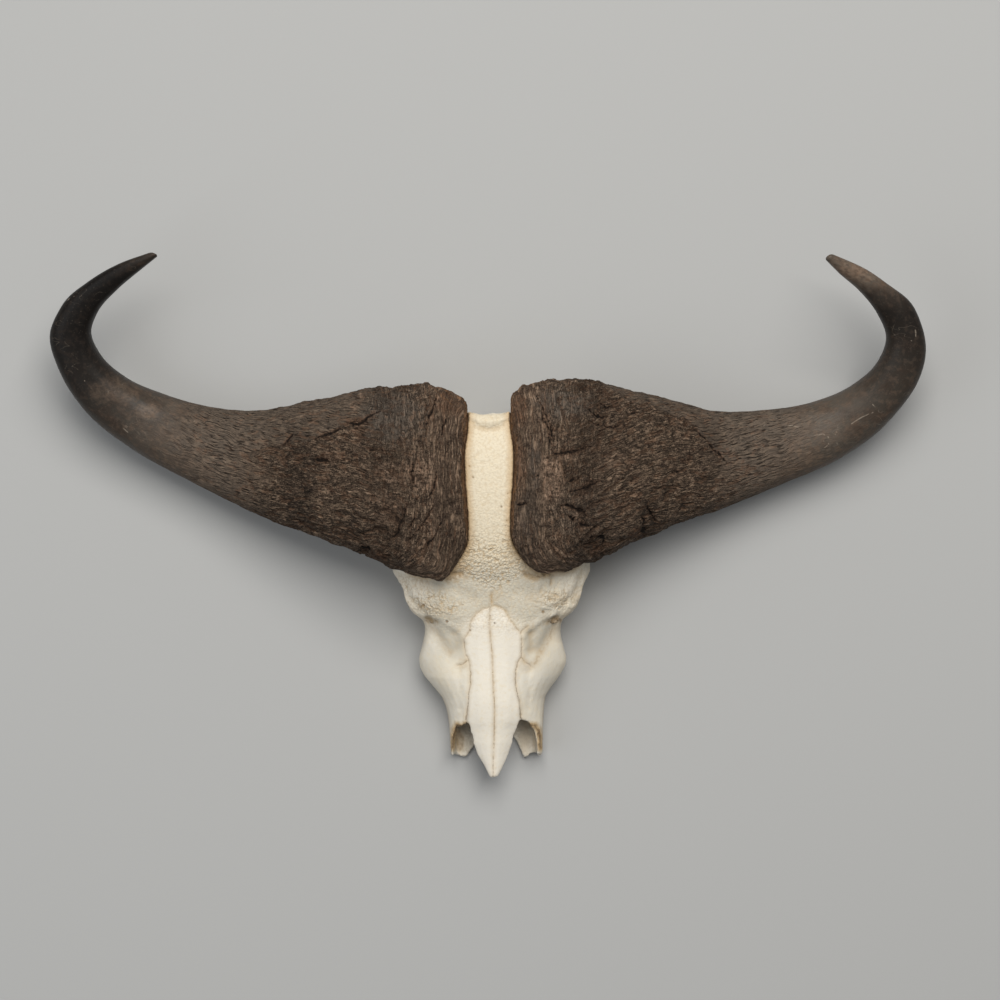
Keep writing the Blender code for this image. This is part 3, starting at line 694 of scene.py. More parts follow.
def neighbours(mesh):
    """The two ends of every edge of the mesh, and how many edges meet at each of its points."""
    ends = np.empty(len(mesh.edges) * 2, int)
    mesh.edges.foreach_get("vertices", ends)
    ends = ends.reshape(-1, 2)
    meet = np.bincount(ends.ravel(), minlength=len(mesh.vertices)).astype(float)
    return ends, meet


def average(values, ends, meet):
    """The mean of each point's neighbours."""
    values = values.reshape(len(values), -1)
    total = np.empty_like(values)
    for axis in range(values.shape[1]):
        total[:, axis] = np.bincount(ends[:, 0], values[ends[:, 1], axis], len(values))
        total[:, axis] += np.bincount(ends[:, 1], values[ends[:, 0], axis], len(values))
    return total / meet[:, None]


def read_points(mesh):
    """The mesh's points as an array."""
    places = np.empty(len(mesh.vertices) * 3)
    mesh.vertices.foreach_get("co", places)
    return places.reshape(-1, 3)


def read_normals(mesh):
    """The direction that each point of the mesh faces."""
    mesh.update()
    facing = np.empty(len(mesh.vertices) * 3)
    mesh.vertex_normals.foreach_get("vector", facing)
    return facing.reshape(-1, 3)


def write_points(mesh, places):
    """Move the mesh's points."""
    mesh.vertices.foreach_set("co", places.ravel())
    mesh.update()


def gap_cutter(corners, lower, name):
    """A ragged upright wedge that breaks the roof of the nose back to its corners."""
    body = bmesh.new()
    steps = np.linspace(0, 1, 7)[:-1]
    loops = []
    for height, line in zip(GAP_HEIGHTS, (lower, corners, corners)):
        loop = []
        for one, two in zip(line, line[1:] + line[:1]):
            for step in steps:
                at = Vector((one[0] + (two[0] - one[0]) * step, one[1] + (two[1] - one[1]) * step, height))
                aside = 1.3 * noise.fractal(at / TORN_SIZE, 0.8, 2.0, 2)
                ahead = 3.0 * noise.fractal(at / TORN_SIZE + Vector((9, 9, 9)), 0.8, 2.0, 2)
                loop.append(body.verts.new((at + Vector((aside, ahead, 0))) * MM))
        loops.append(loop)
    for below, above in zip(loops, loops[1:]):
        for i, start in enumerate(below):
            j = (i + 1) % len(below)
            body.faces.new((start, below[j], above[j], above[i]))
    body.faces.new(loops[0][::-1])
    body.faces.new(loops[-1])
    bmesh.ops.recalc_face_normals(body, faces=body.faces)
    mesh = bpy.data.meshes.new(name)
    body.to_mesh(mesh)
    body.free()
    return link_new(name, mesh)


def bone_mesh(grain_size):
    """The skull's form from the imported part, with ragged gaps at the nose, finely remeshed and smooth."""
    body = bmesh.new()
    body.from_mesh(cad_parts["skull"].data)
    bmesh.ops.remove_doubles(body, verts=body.verts, dist=1e-6)
    rough = bpy.data.meshes.new("bone_rough")
    body.to_mesh(rough)
    body.free()
    holder = link_new("bone_rough", rough)
    helpers = [holder]
    for number, (corners, lower) in enumerate(NOSE_GAPS):
        helpers.append(gap_cutter(corners, lower, f"nose_gap_{number}"))
        broken = holder.modifiers.new("broken", "BOOLEAN")
        broken.object = helpers[-1]
        broken.solver = "EXACT"
    finer = holder.modifiers.new("finer", "REMESH")
    finer.mode = "VOXEL"
    finer.voxel_size = grain_size
    mesh = as_made(holder)

    ends, meet = neighbours(mesh)
    places = read_points(mesh)
    for _ in range(SMOOTH_ROUNDS):
        places += SMOOTH_IN * (average(places, ends, meet) - places)
        places -= SMOOTH_OUT * (average(places, ends, meet) - places)
    x, y, z = places.T
    calm = ease(y, -0.192, -0.178) * ease(y, -0.122, -0.134) * ease(z, 0.03, 0.045)
    tongue = ease(np.abs(x - 0.006), 0.028, 0.020) * ease(z, 0.045, 0.055)
    tongue *= ease(y, -0.268, -0.256) * ease(y, -0.216, -0.228)
    calm = np.maximum(calm, tongue)
    for _ in range(CALM_ROUNDS):
        places += CALM_SHARE * calm[:, None] * (average(places, ends, meet) - places)
    write_points(mesh, places)

    hidden = np.maximum(ease(read_normals(mesh)[:, 2], -0.1, -0.3), ease(places[:, 2], 4 * MM, 3 * MM))
    coarser = link_new("bone_coarser", mesh)
    helpers.append(coarser)
    group = coarser.vertex_groups.new(name="hidden")
    group.add(np.flatnonzero(hidden > 0.5).tolist(), 1.0, "REPLACE")
    fewer = coarser.modifiers.new("fewer", "DECIMATE")
    fewer.ratio = 1 - HIDDEN_SPARED * float(np.mean(hidden > 0.5))
    fewer.vertex_group = "hidden"
    made = as_made(coarser)
    for each in helpers:
        bpy.data.objects.remove(each)
    return made


def bone_relief(mesh, horns):
    """Forms of the face, seams, holes, rough brow and rims on the bone, and the marks that colour it."""
    looks = bpy.context.scene.buffalo_bone
    ends, meet = neighbours(mesh)
    places = read_points(mesh)
    facing = read_normals(mesh)
    flat = places / MM
    plan = flat[:, :2]
    x, y, z = flat.T
    outer = ease(facing[:, 2], 0.05, 0.5) * ease(z, 22, 34)

    trees = [BVHTree.FromPolygons(*horn) for horn in horns]
    near = nearest_gap(places, trees, HORN_REACH, FACE_END)

    # Uneven values
    soft = wander(flat, 18, 2, 2.2)
    ripple = wander(flat, (7.0, 5.0, 6.0), 2, 4.6)
    beads = wander(flat, 3.0, 2, 6.3)
    grit = wander(flat, 1.9, 1, 3.3)
    wobble = wander(flat, 4.0, 2, 9.9)

    # Seams, small holes and soft forms, from their tables
    seam = np.full(len(places), FAR_BONE)
    sewn = np.zeros(len(places))
    for name, corners in SEAMS.items():
        far, _ = line_distance(plan + 0.7 * wobble[:, None], corners)
        strength = 0.8 if name == "midline" else np.interp(-y, (120, 200), (0.45, 1.0))
        sewn = np.where(far < seam, strength, sewn)
        seam = np.minimum(seam, far)
    seam = np.where(outer > 0.3, seam, FAR_BONE)
    hole = np.full(len(places), FAR_BONE)
    dent = 0.9 * looks.seam_depth * np.clip(1 - np.abs(seam + 0.5 * wobble) / 2.0, 0.0, 1.0) * outer
    for hx, hy, radius, depth in HOLES:
        far = np.hypot(x - hx, y - hy) + 0.5 * wobble
        dent += depth * outer * ease(far, radius * 1.6, radius * 0.3)
        hole = np.where(outer > 0.3, np.minimum(hole, far - radius), hole)

    # Stains from the table; some of them are painted shade, in the pits before the orbits and under the
    # bosses
    stain_and_shade = spots(plan, STAINS_AND_SHADE, 0.5 * soft + 0.3 * ripple)
    form = np.zeros(len(places))
    # The brown share of each form: stain in the furrows, painted shade in the pits, under the bosses and
    # below the brows
    for half, height, brown, corners in FORMS:
        far, passed = line_distance(plan + 0.6 * ripple[:, None], corners)
        taper = 1.0 if half > 3 else np.clip(0.35 + 4 * np.minimum(passed, 1 - passed), 0.0, 1.0)
        form += height * taper * np.exp(-((far / half) ** 2))
        stain_and_shade = np.maximum(stain_and_shade, brown * taper * np.exp(-((far / (0.8 * half + 0.8)) ** 2)))

    # Where the bone is rough: above the nose, on the strip, and on each brow and its wing
    aside, beside_nose = np.abs(x - MIDLINE), np.abs(x - NOSE_LINE)
    above = y + 84 - 0.016 * (x - 6) ** 2 + 2.5 * ripple
    fan = ease(above + 4 * wobble, -10, 12) * ease(y, -8, -60) * ease(beside_nose, 62, 40) * outer
    strip = ease(aside, 44, 30) * ease(y, -70, -40) * outer
    tilt = np.stack((0.93 * x - 0.36 * y, 0.36 * x + 0.93 * y, z), axis=1)
    brow, dotted, wing = (
        ease(np.hypot((x - rx) / wide, (y - ry) / high) + 0.25 * soft, 1.3, inner) * outer
        for rx, ry, wide, high, inner in ROUGH_PLACES
    )
    arch = y - 0.016 * aside**2
    crest = ease(np.abs(arch - 104.5), 6, 0) * strip
    ledge = ease(np.abs(arch - 113.5), 6, 1) * strip
    lip = ease(near + 0.8 * wobble, 7.5, 4.0) * ease(near, 0.6, 2.5) * outer

    grain = looks.grain_height
    relief = form * outer - dent
    relief += fan * (0.7 * beads + 0.5 * grit) * grain
    relief += strip * (0.35 * beads + 0.30 * grit) * (0.3 + 0.9 * ease(y, 30, -40)) * grain
    relief += brow * 1.6 * wander(tilt, (12.0, 2.6, 6.0), 2, 1.1) * grain
    relief += dotted * (1.2 * beads + 1.0 * grit) * grain
    relief += wing * 1.0 * wander(flat, (2.2, 7.0, 5.0), 2, 5.1) * grain
    relief += 0.12 * beads + 0.06 * ripple + 0.20 * soft
    relief += 1.2 * lip - 1.3 * crest + 0.5 * ledge

    # The sawn rear end, with a low ridge between two hollows
    poll = ease(facing[:, 1], 0.35, 0.8) * ease(y, 50, 80) * ease(z, 5, 16)
    keel = np.exp(-((aside / 7) ** 2)) * ease(z, 25, 60) * ease(z, 112, 95)
    hollows = np.exp(-(((aside - 27) / 15) ** 2) - ((z - 48) / 24) ** 2)
    relief += poll * (2.4 * keel - 3.2 * hollows + 0.8 * soft + 0.5 * ripple + 0.5 * beads)

    # Torn edges of the notches, and the ends of the bone that are pushed forward or back
    broken = np.full(len(places), FAR_BONE)
    for corners, _ in NOSE_GAPS:
        far, _ = line_distance(plan, corners[1:-2])
        broken = np.minimum(broken, far)
    broken = np.where(z > 24, broken, FAR_BONE)
    front = ease(y, -266, -282) * ease(z, 50, 44)
    relief += ease(broken, 5, 1) * (1.2 * beads + 0.8 * wobble) * ease(z, 24, 30)
    moved = places + facing * (relief * MM)[:, None]
    tongue = np.exp(-(((x + 31) / 7) ** 2)) + 1.2 * np.exp(-(((x - 45) / 6) ** 2))
    low = ease(z, 24, 14)
    top_end = ease(y, 100, 114) * ease(aside, 40, 28)
    moved[:, 1] += top_end * (np.minimum(0.007 * aside**2, 3.5) - 0.5) * MM
    moved[:, 1] -= front * (low * 4.5 * tongue + 1.6 * wobble + 1.2 * beads) * MM
    write_points(mesh, moved)

    # What only colours the bone: hollows, the nasal bones, and painted shade on the forehead and beside the
    # nose
    blurred = read_points(mesh)
    for _ in range(BLUR_ROUNDS):
        blurred = average(blurred, ends, meet)
    hollow = np.einsum("ij,ij->i", blurred - read_points(mesh), read_normals(mesh)) / MM
    sides = (SEAMS["nasal_left"], SEAMS["nasal_right"])
    left, right = (np.interp(-y, *zip(*[(-b, a) for a, b in corners])) for corners in sides)
    forehead = ease(y + 0.25 * np.abs(x - 5) + 2 * soft, -118, -100) * ease(np.abs(x - 4), 95, 60)
    shade_beside_nose = ease(beside_nose, 28, 40) * ease(beside_nose, 78, 60) * ease(y + 3 * soft, -178, -158)
    rough_bone = fan + (0.04 + 0.50 * ease(y, 35, -45)) * strip + 0.8 * brow + 0.8 * dotted + 0.6 * wing
    rough_bone = np.clip(rough_bone, 0.0, 1.0)
    marks = {
        **dict(seam=seam, sewn=sewn, hole=hole, near_horn=near, hollow=hollow, strip=strip, broken=broken),
        "stain_and_shade": stain_and_shade * ease(facing[:, 2], -0.4, 0.2),
        "fan": np.maximum(rough_bone, 0.35 * ease(y, -150, -118) * outer),
        "nasal": ease(x - left, -1.5, 2.5) * ease(right - x, -1.5, 2.5) * ease(y, -101, -108) * outer,
        "outer": np.maximum(outer, 0.85 * poll),
        # Painted shade: duller cream on the forehead and beside the nose, less of it on the brows and the
        # wing
        "forehead": np.maximum(forehead, 0.7 * shade_beside_nose) * outer * (1 - np.maximum(0.7 * wing, 0.3 * brow)),
        "deep": ease(y, -262, -240) * (1 - outer) * ease(y, -200, -215),
    }
    write_marks(mesh, marks)
    mesh.shade_smooth()


class Value:
    """A node's output, which can be added, taken away and multiplied as a number can."""

    def __init__(self, socket):
        """Keep the socket and the tree of nodes that it is in."""
        self.socket = socket
        self.tree = socket.id_data

    def __add__(self, other):
        """This value and another added."""
        return combine(self.tree, "ADD", self, other)

    def __sub__(self, other):
        """This value less another."""
        return combine(self.tree, "SUBTRACT", self, other)

    def __rsub__(self, other):
        """A number less this value."""
        return combine(self.tree, "SUBTRACT", other, self)

    def __mul__(self, other):
        """This value times another."""
        return combine(self.tree, "MULTIPLY", self, other)

    def __abs__(self):
        """This value without its sign."""
        return combine(self.tree, "ABSOLUTE", self, 0.0)


def put(tree, kind, feeds=None, **settings):
    """A new node: settings are its own options, feeds are numbers or values for its sockets."""
    made = tree.nodes.new(kind)
    for word, value in settings.items():
        setattr(made, word, value)
    for socket, value in (feeds or {}).items():
        if isinstance(value, Value):
            tree.links.new(value.socket, made.inputs[socket])
        else:
            made.inputs[socket].default_value = value
    return made


def combine(tree, how, one, two):
    """A Math node's result."""
    return Value(put(tree, "ShaderNodeMath", {0: one, 1: two}, operation=how).outputs[0])


def vector(how, one, two):
    """A Vector Math node's result."""
    return Value(put(one.tree, "ShaderNodeVectorMath", {0: one, 1: two}, operation=how).outputs[0])


def scaled(place, size):
    """A place multiplied by a number."""
    return Value(put(place.tree, "ShaderNodeVectorMath", {0: place, 3: size}, operation="SCALE").outputs[0])


def most(*values):
    """The largest of some values."""
    largest = values[0]
    for value in values[1:]:
        largest = combine(largest.tree, "MAXIMUM", largest, value)
    return largest


def mark(tree, word):
    """The value of one of the mesh's marks."""
    return Value(put(tree, "ShaderNodeAttribute", attribute_name=word).outputs["Fac"])


def spread(value, low, high, to_low=0.0, to_high=1.0):
    """A value mapped from one range to another, with the ends held."""
    feeds = {0: value, 1: low, 2: high, 3: to_low, 4: to_high}
    return Value(put(value.tree, "ShaderNodeMapRange", feeds, clamp=True).outputs[0])


def blend(share, one, two):
    """Two colours mixed. Each is a value or one of the user's colours."""
    one, two = (each if isinstance(each, Value) else (*each, 1.0) for each in (one, two))
    feeds = {0: share, 6: one, 7: two}
    return Value(put(share.tree, "ShaderNodeMix", feeds, data_type="RGBA").outputs[2])


def coat(base, *layers):
    """A colour with layers over it. A layer is how much it covers, and its own colour."""
    for share, over in layers:
        base = blend(share, base, over)
    return base


def texture(place, size, detail=3.0, roughness=0.6, seed=0.0):
    """A noise texture over a place in mm. Size is one number, or one for each axis."""
    sizes = size if isinstance(size, tuple) else (size,) * 3
    feeds = {0: place, 1: tuple(1 / each for each in sizes), 2: (seed, seed, seed)}
    shifted = Value(put(place.tree, "ShaderNodeVectorMath", feeds, operation="MULTIPLY_ADD").outputs[0])
    feeds = {"Vector": shifted, "Scale": 1.0, "Detail": detail, "Roughness": roughness}
    return Value(put(place.tree, "ShaderNodeTexNoise", feeds).outputs["Fac"])


def veins(value, width):
    """Thin lines where a noise passes its middle: 1 on a line, 0 off it."""
    return spread(abs(value - 0.5), 0.0, width, 1.0, 0.0)


def start_finish(name):
    """A new material, its tree of nodes, and the place on the object in mm."""
    made = bpy.data.materials.new(name)
    made.use_nodes = True
    tree = made.node_tree
    return made, tree, scaled(Value(put(tree, "ShaderNodeTexCoord").outputs["Object"]), 1 / MM)


def end_finish(made, base, roughness, specular, height, strength, distance):
    """The material, once its colour, roughness and fine grain are joined to its shader."""
    tree = made.node_tree
    shader = tree.nodes["Principled BSDF"]
    feeds = {"Strength": strength, "Distance": distance, "Height": height}
    bump = put(tree, "ShaderNodeBump", feeds)
    tree.links.new(base.socket, shader.inputs["Base Color"])
    tree.links.new(roughness.socket, shader.inputs["Roughness"])
    tree.links.new(bump.outputs[0], shader.inputs["Normal"])
    shader.inputs["Specular IOR Level"].default_value = specular
    return made


def horn_finish():
    """Dark horn: fibrous at the rim of the boss, cracked like bark over it, smooth and satin at the hook."""
    looks = bpy.context.scene.buffalo_horns
    made, tree, solid = start_finish("horn_sheath_weathered")
    names = ("split", "dent", "band", "chop", "lines", "smooth", "ragged", "tone")
    split, dent, band, chop, lines, smooth, ragged, tone = (mark(tree, name) for name in names)

    # Grain, along the unrolled sheath, along the growth of the rim, and in the solid horn
    unrolled = Value(put(tree, "ShaderNodeUVMap", uv_map="OFBake").outputs[0])
    sheath = vector("MULTIPLY", unrolled, (SHEATH_LENGTH / MAP_SHARE, SHEATH_GIRTH / MAP_SHARE, 0.0))
    lean = Value(put(tree, "ShaderNodeCombineXYZ", {1: mark(tree, "lean")}).outputs[0])
    straight = vector("ADD", sheath, lean)
    along, around = (Value(each) for each in put(tree, "ShaderNodeSeparateXYZ", {0: straight}).outputs[:2])
    feeds = {0: mark(tree, "follow"), 1: around, 2: along}
    growth = Value(put(tree, "ShaderNodeCombineXYZ", feeds).outputs[0])
    mottle = texture(solid, 19.0, 4.0, 0.62, 1.0)
    patches = texture(solid, 7.0, 3.0, 0.6, 6.0)
    flecks = texture(solid, 1.7, 2.0, 0.5, 4.0)
    chips = texture(solid, (5.0, 3.6, 4.2), 4.0, 0.7, 7.0)
    stirred = vector("ADD", straight, vector("MULTIPLY", chips, (7.0, 5.0, 0.0)))
    skin = vector("ADD", growth, vector("MULTIPLY", chips, (2.2, 3.0, 3.0)))
    dashes = texture(stirred, (11.0, 3.0, 5.0), 2.0, 0.5, 9.0)
    ledges = texture(stirred, (26.0, 5.5, 9.0), 3.0, 0.6, 4.0)
    hairs = texture(straight, (8.0, 1.0, 5.0), 2.0, 0.6, 5.0)
    fine_lines = texture(straight, (13.0, 1.7, 5.0), 2.0, 0.5, 2.0)
    fibres = texture(skin, (1.9, 18.0, 18.0), 3.0, 0.6, 3.0)
    rifts = texture(skin, (4.4, 22.0, 22.0), 3.0, 0.6, 8.0)

    # Dark cuts, and pale raised flakes whose pale tops are partly a painted highlight, each where its kind of
    # horn is
    bark = most(chop, lines * 0.45)
    near_bone = most(band * 0.8, ragged)
    crumbs = most(chop, ragged)
    cuts = most(
        spread(dashes, 0.42, 0.38, 0.0, 0.8) * chop,
        veins(dashes, 0.055) * spread(ledges, 0.44, 0.50) * chop,
        spread(fine_lines, 0.47, 0.40) * lines,
        spread(chips, 0.43, 0.38, 0.0, 0.9) * crumbs,
        spread(fibres, 0.43, 0.37, 0.0, 0.8) * near_bone,
        veins(fibres, 0.040) * spread(rifts, 0.46, 0.52) * near_bone,
    )
    cuts = cuts * spread(patches, 0.36, 0.54, 0.15, 1.0)
    dark = most(cuts, veins(ledges, 0.035) * chop, veins(rifts, 0.040) * near_bone)
    # Pale tops of the raised flakes: pale horn, and a painted highlight where the ridges face the light
    pale_lit_flakes = most(
        spread(dashes, 0.53, 0.59, 0.0, 0.85) * bark,
        spread(fibres, 0.52, 0.63, 0.0, 0.9) * near_bone,
        spread(chips, 0.52, 0.58, 0.0, 0.85) * crumbs,
    )
    tiers = spread(ledges, 0.36, 0.64)

    # Colour of the rough horn, then of the smooth hook
    base = coat(
        blend(spread(mottle, 0.36, 0.62), looks.dark_brown, looks.brown),
        (spread(patches, 0.46, 0.66, 0.0, 0.55), looks.pale_brown),
        (spread(hairs, 0.45, 0.62, 0.0, 0.25), looks.pale_brown),
        (pale_lit_flakes * spread(tiers, 0.0, 1.0, 0.25, 0.95), looks.pale_brown),
        (spread(flecks, 0.54, 0.68, 0.0, 0.5) * crumbs, looks.pale_brown),
        (spread(flecks, 0.46, 0.34, 0.0, 0.6) * crumbs, looks.black_and_crack_shade),
        (lines * (1.0 - chop) * 0.62, looks.hook_brown),
    )
    worn = coat(
        blend(tone, looks.hook_black, looks.hook_brown),
        (spread(mottle, 0.42, 0.66, 0.0, 0.7), blend(tone, looks.hook_black, looks.brown)),
        (spread(patches, 0.50, 0.64, 0.0, 0.8) * (tone + 0.06), looks.brown),
        (spread(patches, 0.50, 0.36, 0.0, 0.45) * tone, looks.dark_brown),
        (spread(hairs, 0.50, 0.38, 0.0, 0.45) * tone, looks.hook_black),
    )

    # Patches, scratches, dust, and the cracks over both darkened with painted shade
    grey = blend(spread(patches, 0.3, 0.7, 0.0, 0.35), looks.grey, looks.brown)
    tan = blend(spread(chips, 0.42, 0.58), looks.tan_dark, looks.tan)
    marred = veins(texture(solid, (16.0, 7.0, 9.0), 1.0, 0.4, 12.0), 0.010)
    marred = marred * spread(texture(solid, 26.0, 1.0, 0.5, 8.0), 0.56, 0.64) * smooth * 0.35
    drawn = spread(mark(tree, "scratch") + flecks * 0.9, 0.5, 1.3, 0.8, 0.0)
    jitter = (chips - 0.5) * 4.0
    ragged_dent = dent + jitter * 0.9
    opened = spread(split + jitter, -0.2, 0.8, 1.0, 0.0)
    # The cracks, splits and deep dents are painted near-black: painted shade in cracks that cast too little
    # shadow of their own
    deep = most(spread(ragged_dent, 1.0, 2.6, 0.0, 0.9), dark * 0.9, opened)
    base = coat(
        base,
        (smooth, worn),
        (spread(mark(tree, "grey"), 0.0, 1.0, 0.0, 0.8), grey),
        (spread(mark(tree, "tan"), 0.0, 0.8), tan),
        (mark(tree, "rust") * spread(fibres, 0.40, 0.60, 0.30, 0.85), looks.rust),
        (mark(tree, "dark") * 0.55, looks.black_and_crack_shade),
        (mark(tree, "rim") * spread(patches, 0.4, 0.6, 0.35, 1.0) * 0.8, looks.rim_orange),
        (most(marred, drawn), looks.dust),
        (spread(flecks, 0.66, 0.74) * spread(smooth, 0.0, 1.0, 0.5, 0.15), looks.dust),
        (spread(ragged_dent, 0.2, 1.0, 0.0, 0.4) * spread(dent, 0.1, 0.5), looks.rust),
        (deep * 0.95, looks.black_and_crack_shade),
    )

    gloss = spread(smooth, 0.0, 1.0, 0.80, 0.42) + spread(patches, 0.3, 0.7, -0.08, 0.10)
    height = spread(dashes, 0.38, 0.56) * bark + spread(fibres, 0.36, 0.58) * near_bone + tiers * chop
    height = height + chips * (crumbs * 1.6) + fine_lines * lines - dark * 0.5
    height = (hairs * 0.5 + height) * spread(smooth, 0.0, 1.0, 1.0, 0.12)
    height = flecks * 0.08 + height
    return end_finish(made, base, gloss, 0.15, height, 1.0, looks.bump_height)


def bone_finish():
    """Bleached bone: cream, with brown seams, pores painted dark as shade, brown stains with painted shade in
    the pits and under the horns, and darker broken edges.
    """
    looks = bpy.context.scene.buffalo_bone
    made, tree, solid = start_finish("bleached_bone")
    names = ("seam", "hole", "near_horn", "fan", "strip", "nasal", "broken", "hollow", "outer", "sewn")
    seam, hole, near, fan, strip, nasal, broken, hollow, outer, sewn = (mark(tree, name) for name in names)

    # Grain, and granules on stirred places so that they don't lie in rows
    cloud = texture(solid, 34.0, 4.0, 0.6, 2.0)
    mottle = texture(solid, 5.0, 3.0, 0.6, 5.0)
    grain = texture(solid, (1.3, 3.6, 1.6), 3.0, 0.6, 8.0)
    beads = texture(solid, 1.35, 2.0, 0.6, 3.0)
    feeds = {"Vector": vector("ADD", solid, scaled(mottle, 4.0)), "Scale": 1 / GRANULE_SIZE}
    granules = Value(put(tree, "ShaderNodeTexVoronoi", feeds).outputs["Distance"])

    # Distances from the marks with an uneven edge, and the broken line of the seams
    jitter = (mottle - 0.5) * 5.0 + (beads - 0.5) * 3.0
    line = spread(abs(seam + jitter * 0.35), 0.15, 0.95, 1.0, 0.0) * spread(mottle, 0.40, 0.56, 0.25, 1.0)
    line = line * most(spread(beads, 0.40, 0.54), sewn) * spread(sewn, 0.3, 1.0, 0.6, 1.2)
    stain_and_shade = mark(tree, "stain_and_shade") * spread(mottle, 0.35, 0.6, 0.45, 1.0)
    hole_at, near_at, broken_at = hole + jitter * 0.3, near + jitter, broken + jitter * 0.8
    inside = coat(
        blend(spread(mottle, 0.4, 0.6), looks.inner_grey, looks.cream_grey),
        (mark(tree, "deep") * 0.75, looks.dark_stain_and_shade),
    )
    base = coat(
        blend(spread(cloud, 0.36, 0.64), looks.cream, looks.cream_grey),
        # Painted shade on the forehead and beside the nose
        (mark(tree, "forehead"), looks.shaded_cream),
        (strip * 0.8, looks.cream_warm),
        (nasal * 0.8, looks.nasal_pale),
        (spread(mottle, 0.52, 0.72, 0.0, 0.35), looks.cream_yellow),
        (spread(granules, 0.38, 0.20) * fan * 0.45, looks.cream_yellow),
        (spread(granules, 0.48, 0.78) * fan * 0.75, looks.stain_and_shade),
        (spread(beads, 0.28, 0.22) * outer * 0.5, looks.dark_stain_and_shade),
        ((1.0 - outer) * 0.6, inside),
        (spread(seam, 0.0, 5.0, 0.34, 0.0), looks.stain_and_shade),
        (line * 0.75, looks.seam_brown_and_shade),
        # Small holes painted dark: painted shade in holes too shallow to shade themselves
        (spread(hole_at, -0.4, 1.0, 0.85, 0.0), looks.seam_brown_and_shade),
        # Stains, some of them painted shade in the pits and under the bosses
        (spread(stain_and_shade, 0.0, 0.7, 0.0, 0.55), looks.stain_and_shade),
        (spread(stain_and_shade, 0.45, 1.0, 0.0, 0.75), looks.dark_stain_and_shade),
        (spread(near_at, 2.0, 10.0, 0.72, 0.0) * outer, looks.edge_orange),
        # A thin dark brown line where the bone meets the horns: dirt, with painted shade in the joint
        (spread(near_at, 0.3, 2.6, 0.90, 0.0), looks.seam_brown_and_shade),
        (spread(hollow, 0.12, 0.9, 0.0, 0.45), looks.stain_and_shade),
        (spread(broken_at, 2.0, 6.5, 0.85, 0.0), looks.broken_brown),
        (spread(broken_at, -0.5, 2.0, 0.95, 0.0), looks.seam_brown_and_shade),
    )

    gloss = spread(mottle, 0.3, 0.7, 0.50, 0.72)
    height = beads * spread(fan, 0.0, 1.0, 0.40, 1.6) - granules * spread(fan, 0.0, 1.0, 0.0, 2.6)
    height = line * -0.6 + (grain * 0.30 + height)
    return end_finish(made, base, gloss, 0.30, height, 0.9, looks.bump_height)


def tint(name, description, value):
    """A colour that a user can set."""
    return FloatVectorProperty(
        name=name, description=description, default=value, subtype="COLOR", size=3, min=0.0, max=1.0
    )


def distance(name, description, value):
    """A length that a user can set."""
    return FloatProperty(
        name=name, description=description, default=value, unit="LENGTH", subtype="DISTANCE"
    )


def relief_share(name, description, highest):
    """A share of the full relief that a user can set, from none to the highest."""
    return FloatProperty(name=name, description=description, default=1.0, min=0.0, max=highest)


class BuffaloHornProperties(bpy.types.PropertyGroup):
    """Relief and colours of the two horn sheaths."""

    crack_depth: relief_share("Crack depth", "Share of the full depth of the bark-like cracks", 2.0)
    bump_height: distance("Fine grain", "Height of the finest grain", 0.0019)
    dark_brown: tint("Dark brown", "Horn between the flakes", (0.050, 0.032, 0.022))
    brown: tint("Brown", "Most of the boss", (0.115, 0.075, 0.051))
    # Pale horn of patches, hairs and flecks, and the painted highlight on the tops of the flakes
    pale_brown: tint("Pale brown", "Tops of the flakes", (0.350, 0.245, 0.165))
    hook_black: tint("Hook black", "Smooth outer horn, darkest part", (0.0065, 0.0055, 0.005))
    hook_brown: tint("Hook brown", "Smooth outer horn, paler part", (0.107, 0.089, 0.070))
    grey: tint("Grey", "Smooth grey patches", (0.168, 0.139, 0.111))
    tan: tint("Tan", "Flaked patches", (0.390, 0.265, 0.180))
    tan_dark: tint("Dark tan", "Flaked patches, darker part", (0.150, 0.098, 0.066))
    rust: tint("Rust", "Reddish patches", (0.185, 0.094, 0.052))
    rim_orange: tint("Rim", "Thin edge along the bone", (0.270, 0.130, 0.050))
    dust: tint("Dust", "Pale specks", (0.300, 0.245, 0.190))
    # Near-black of the dark flecks and patches, and the painted shade in the cracks
    black_and_crack_shade: tint("Crack", "Depth of the cracks", (0.0065, 0.0045, 0.0035))


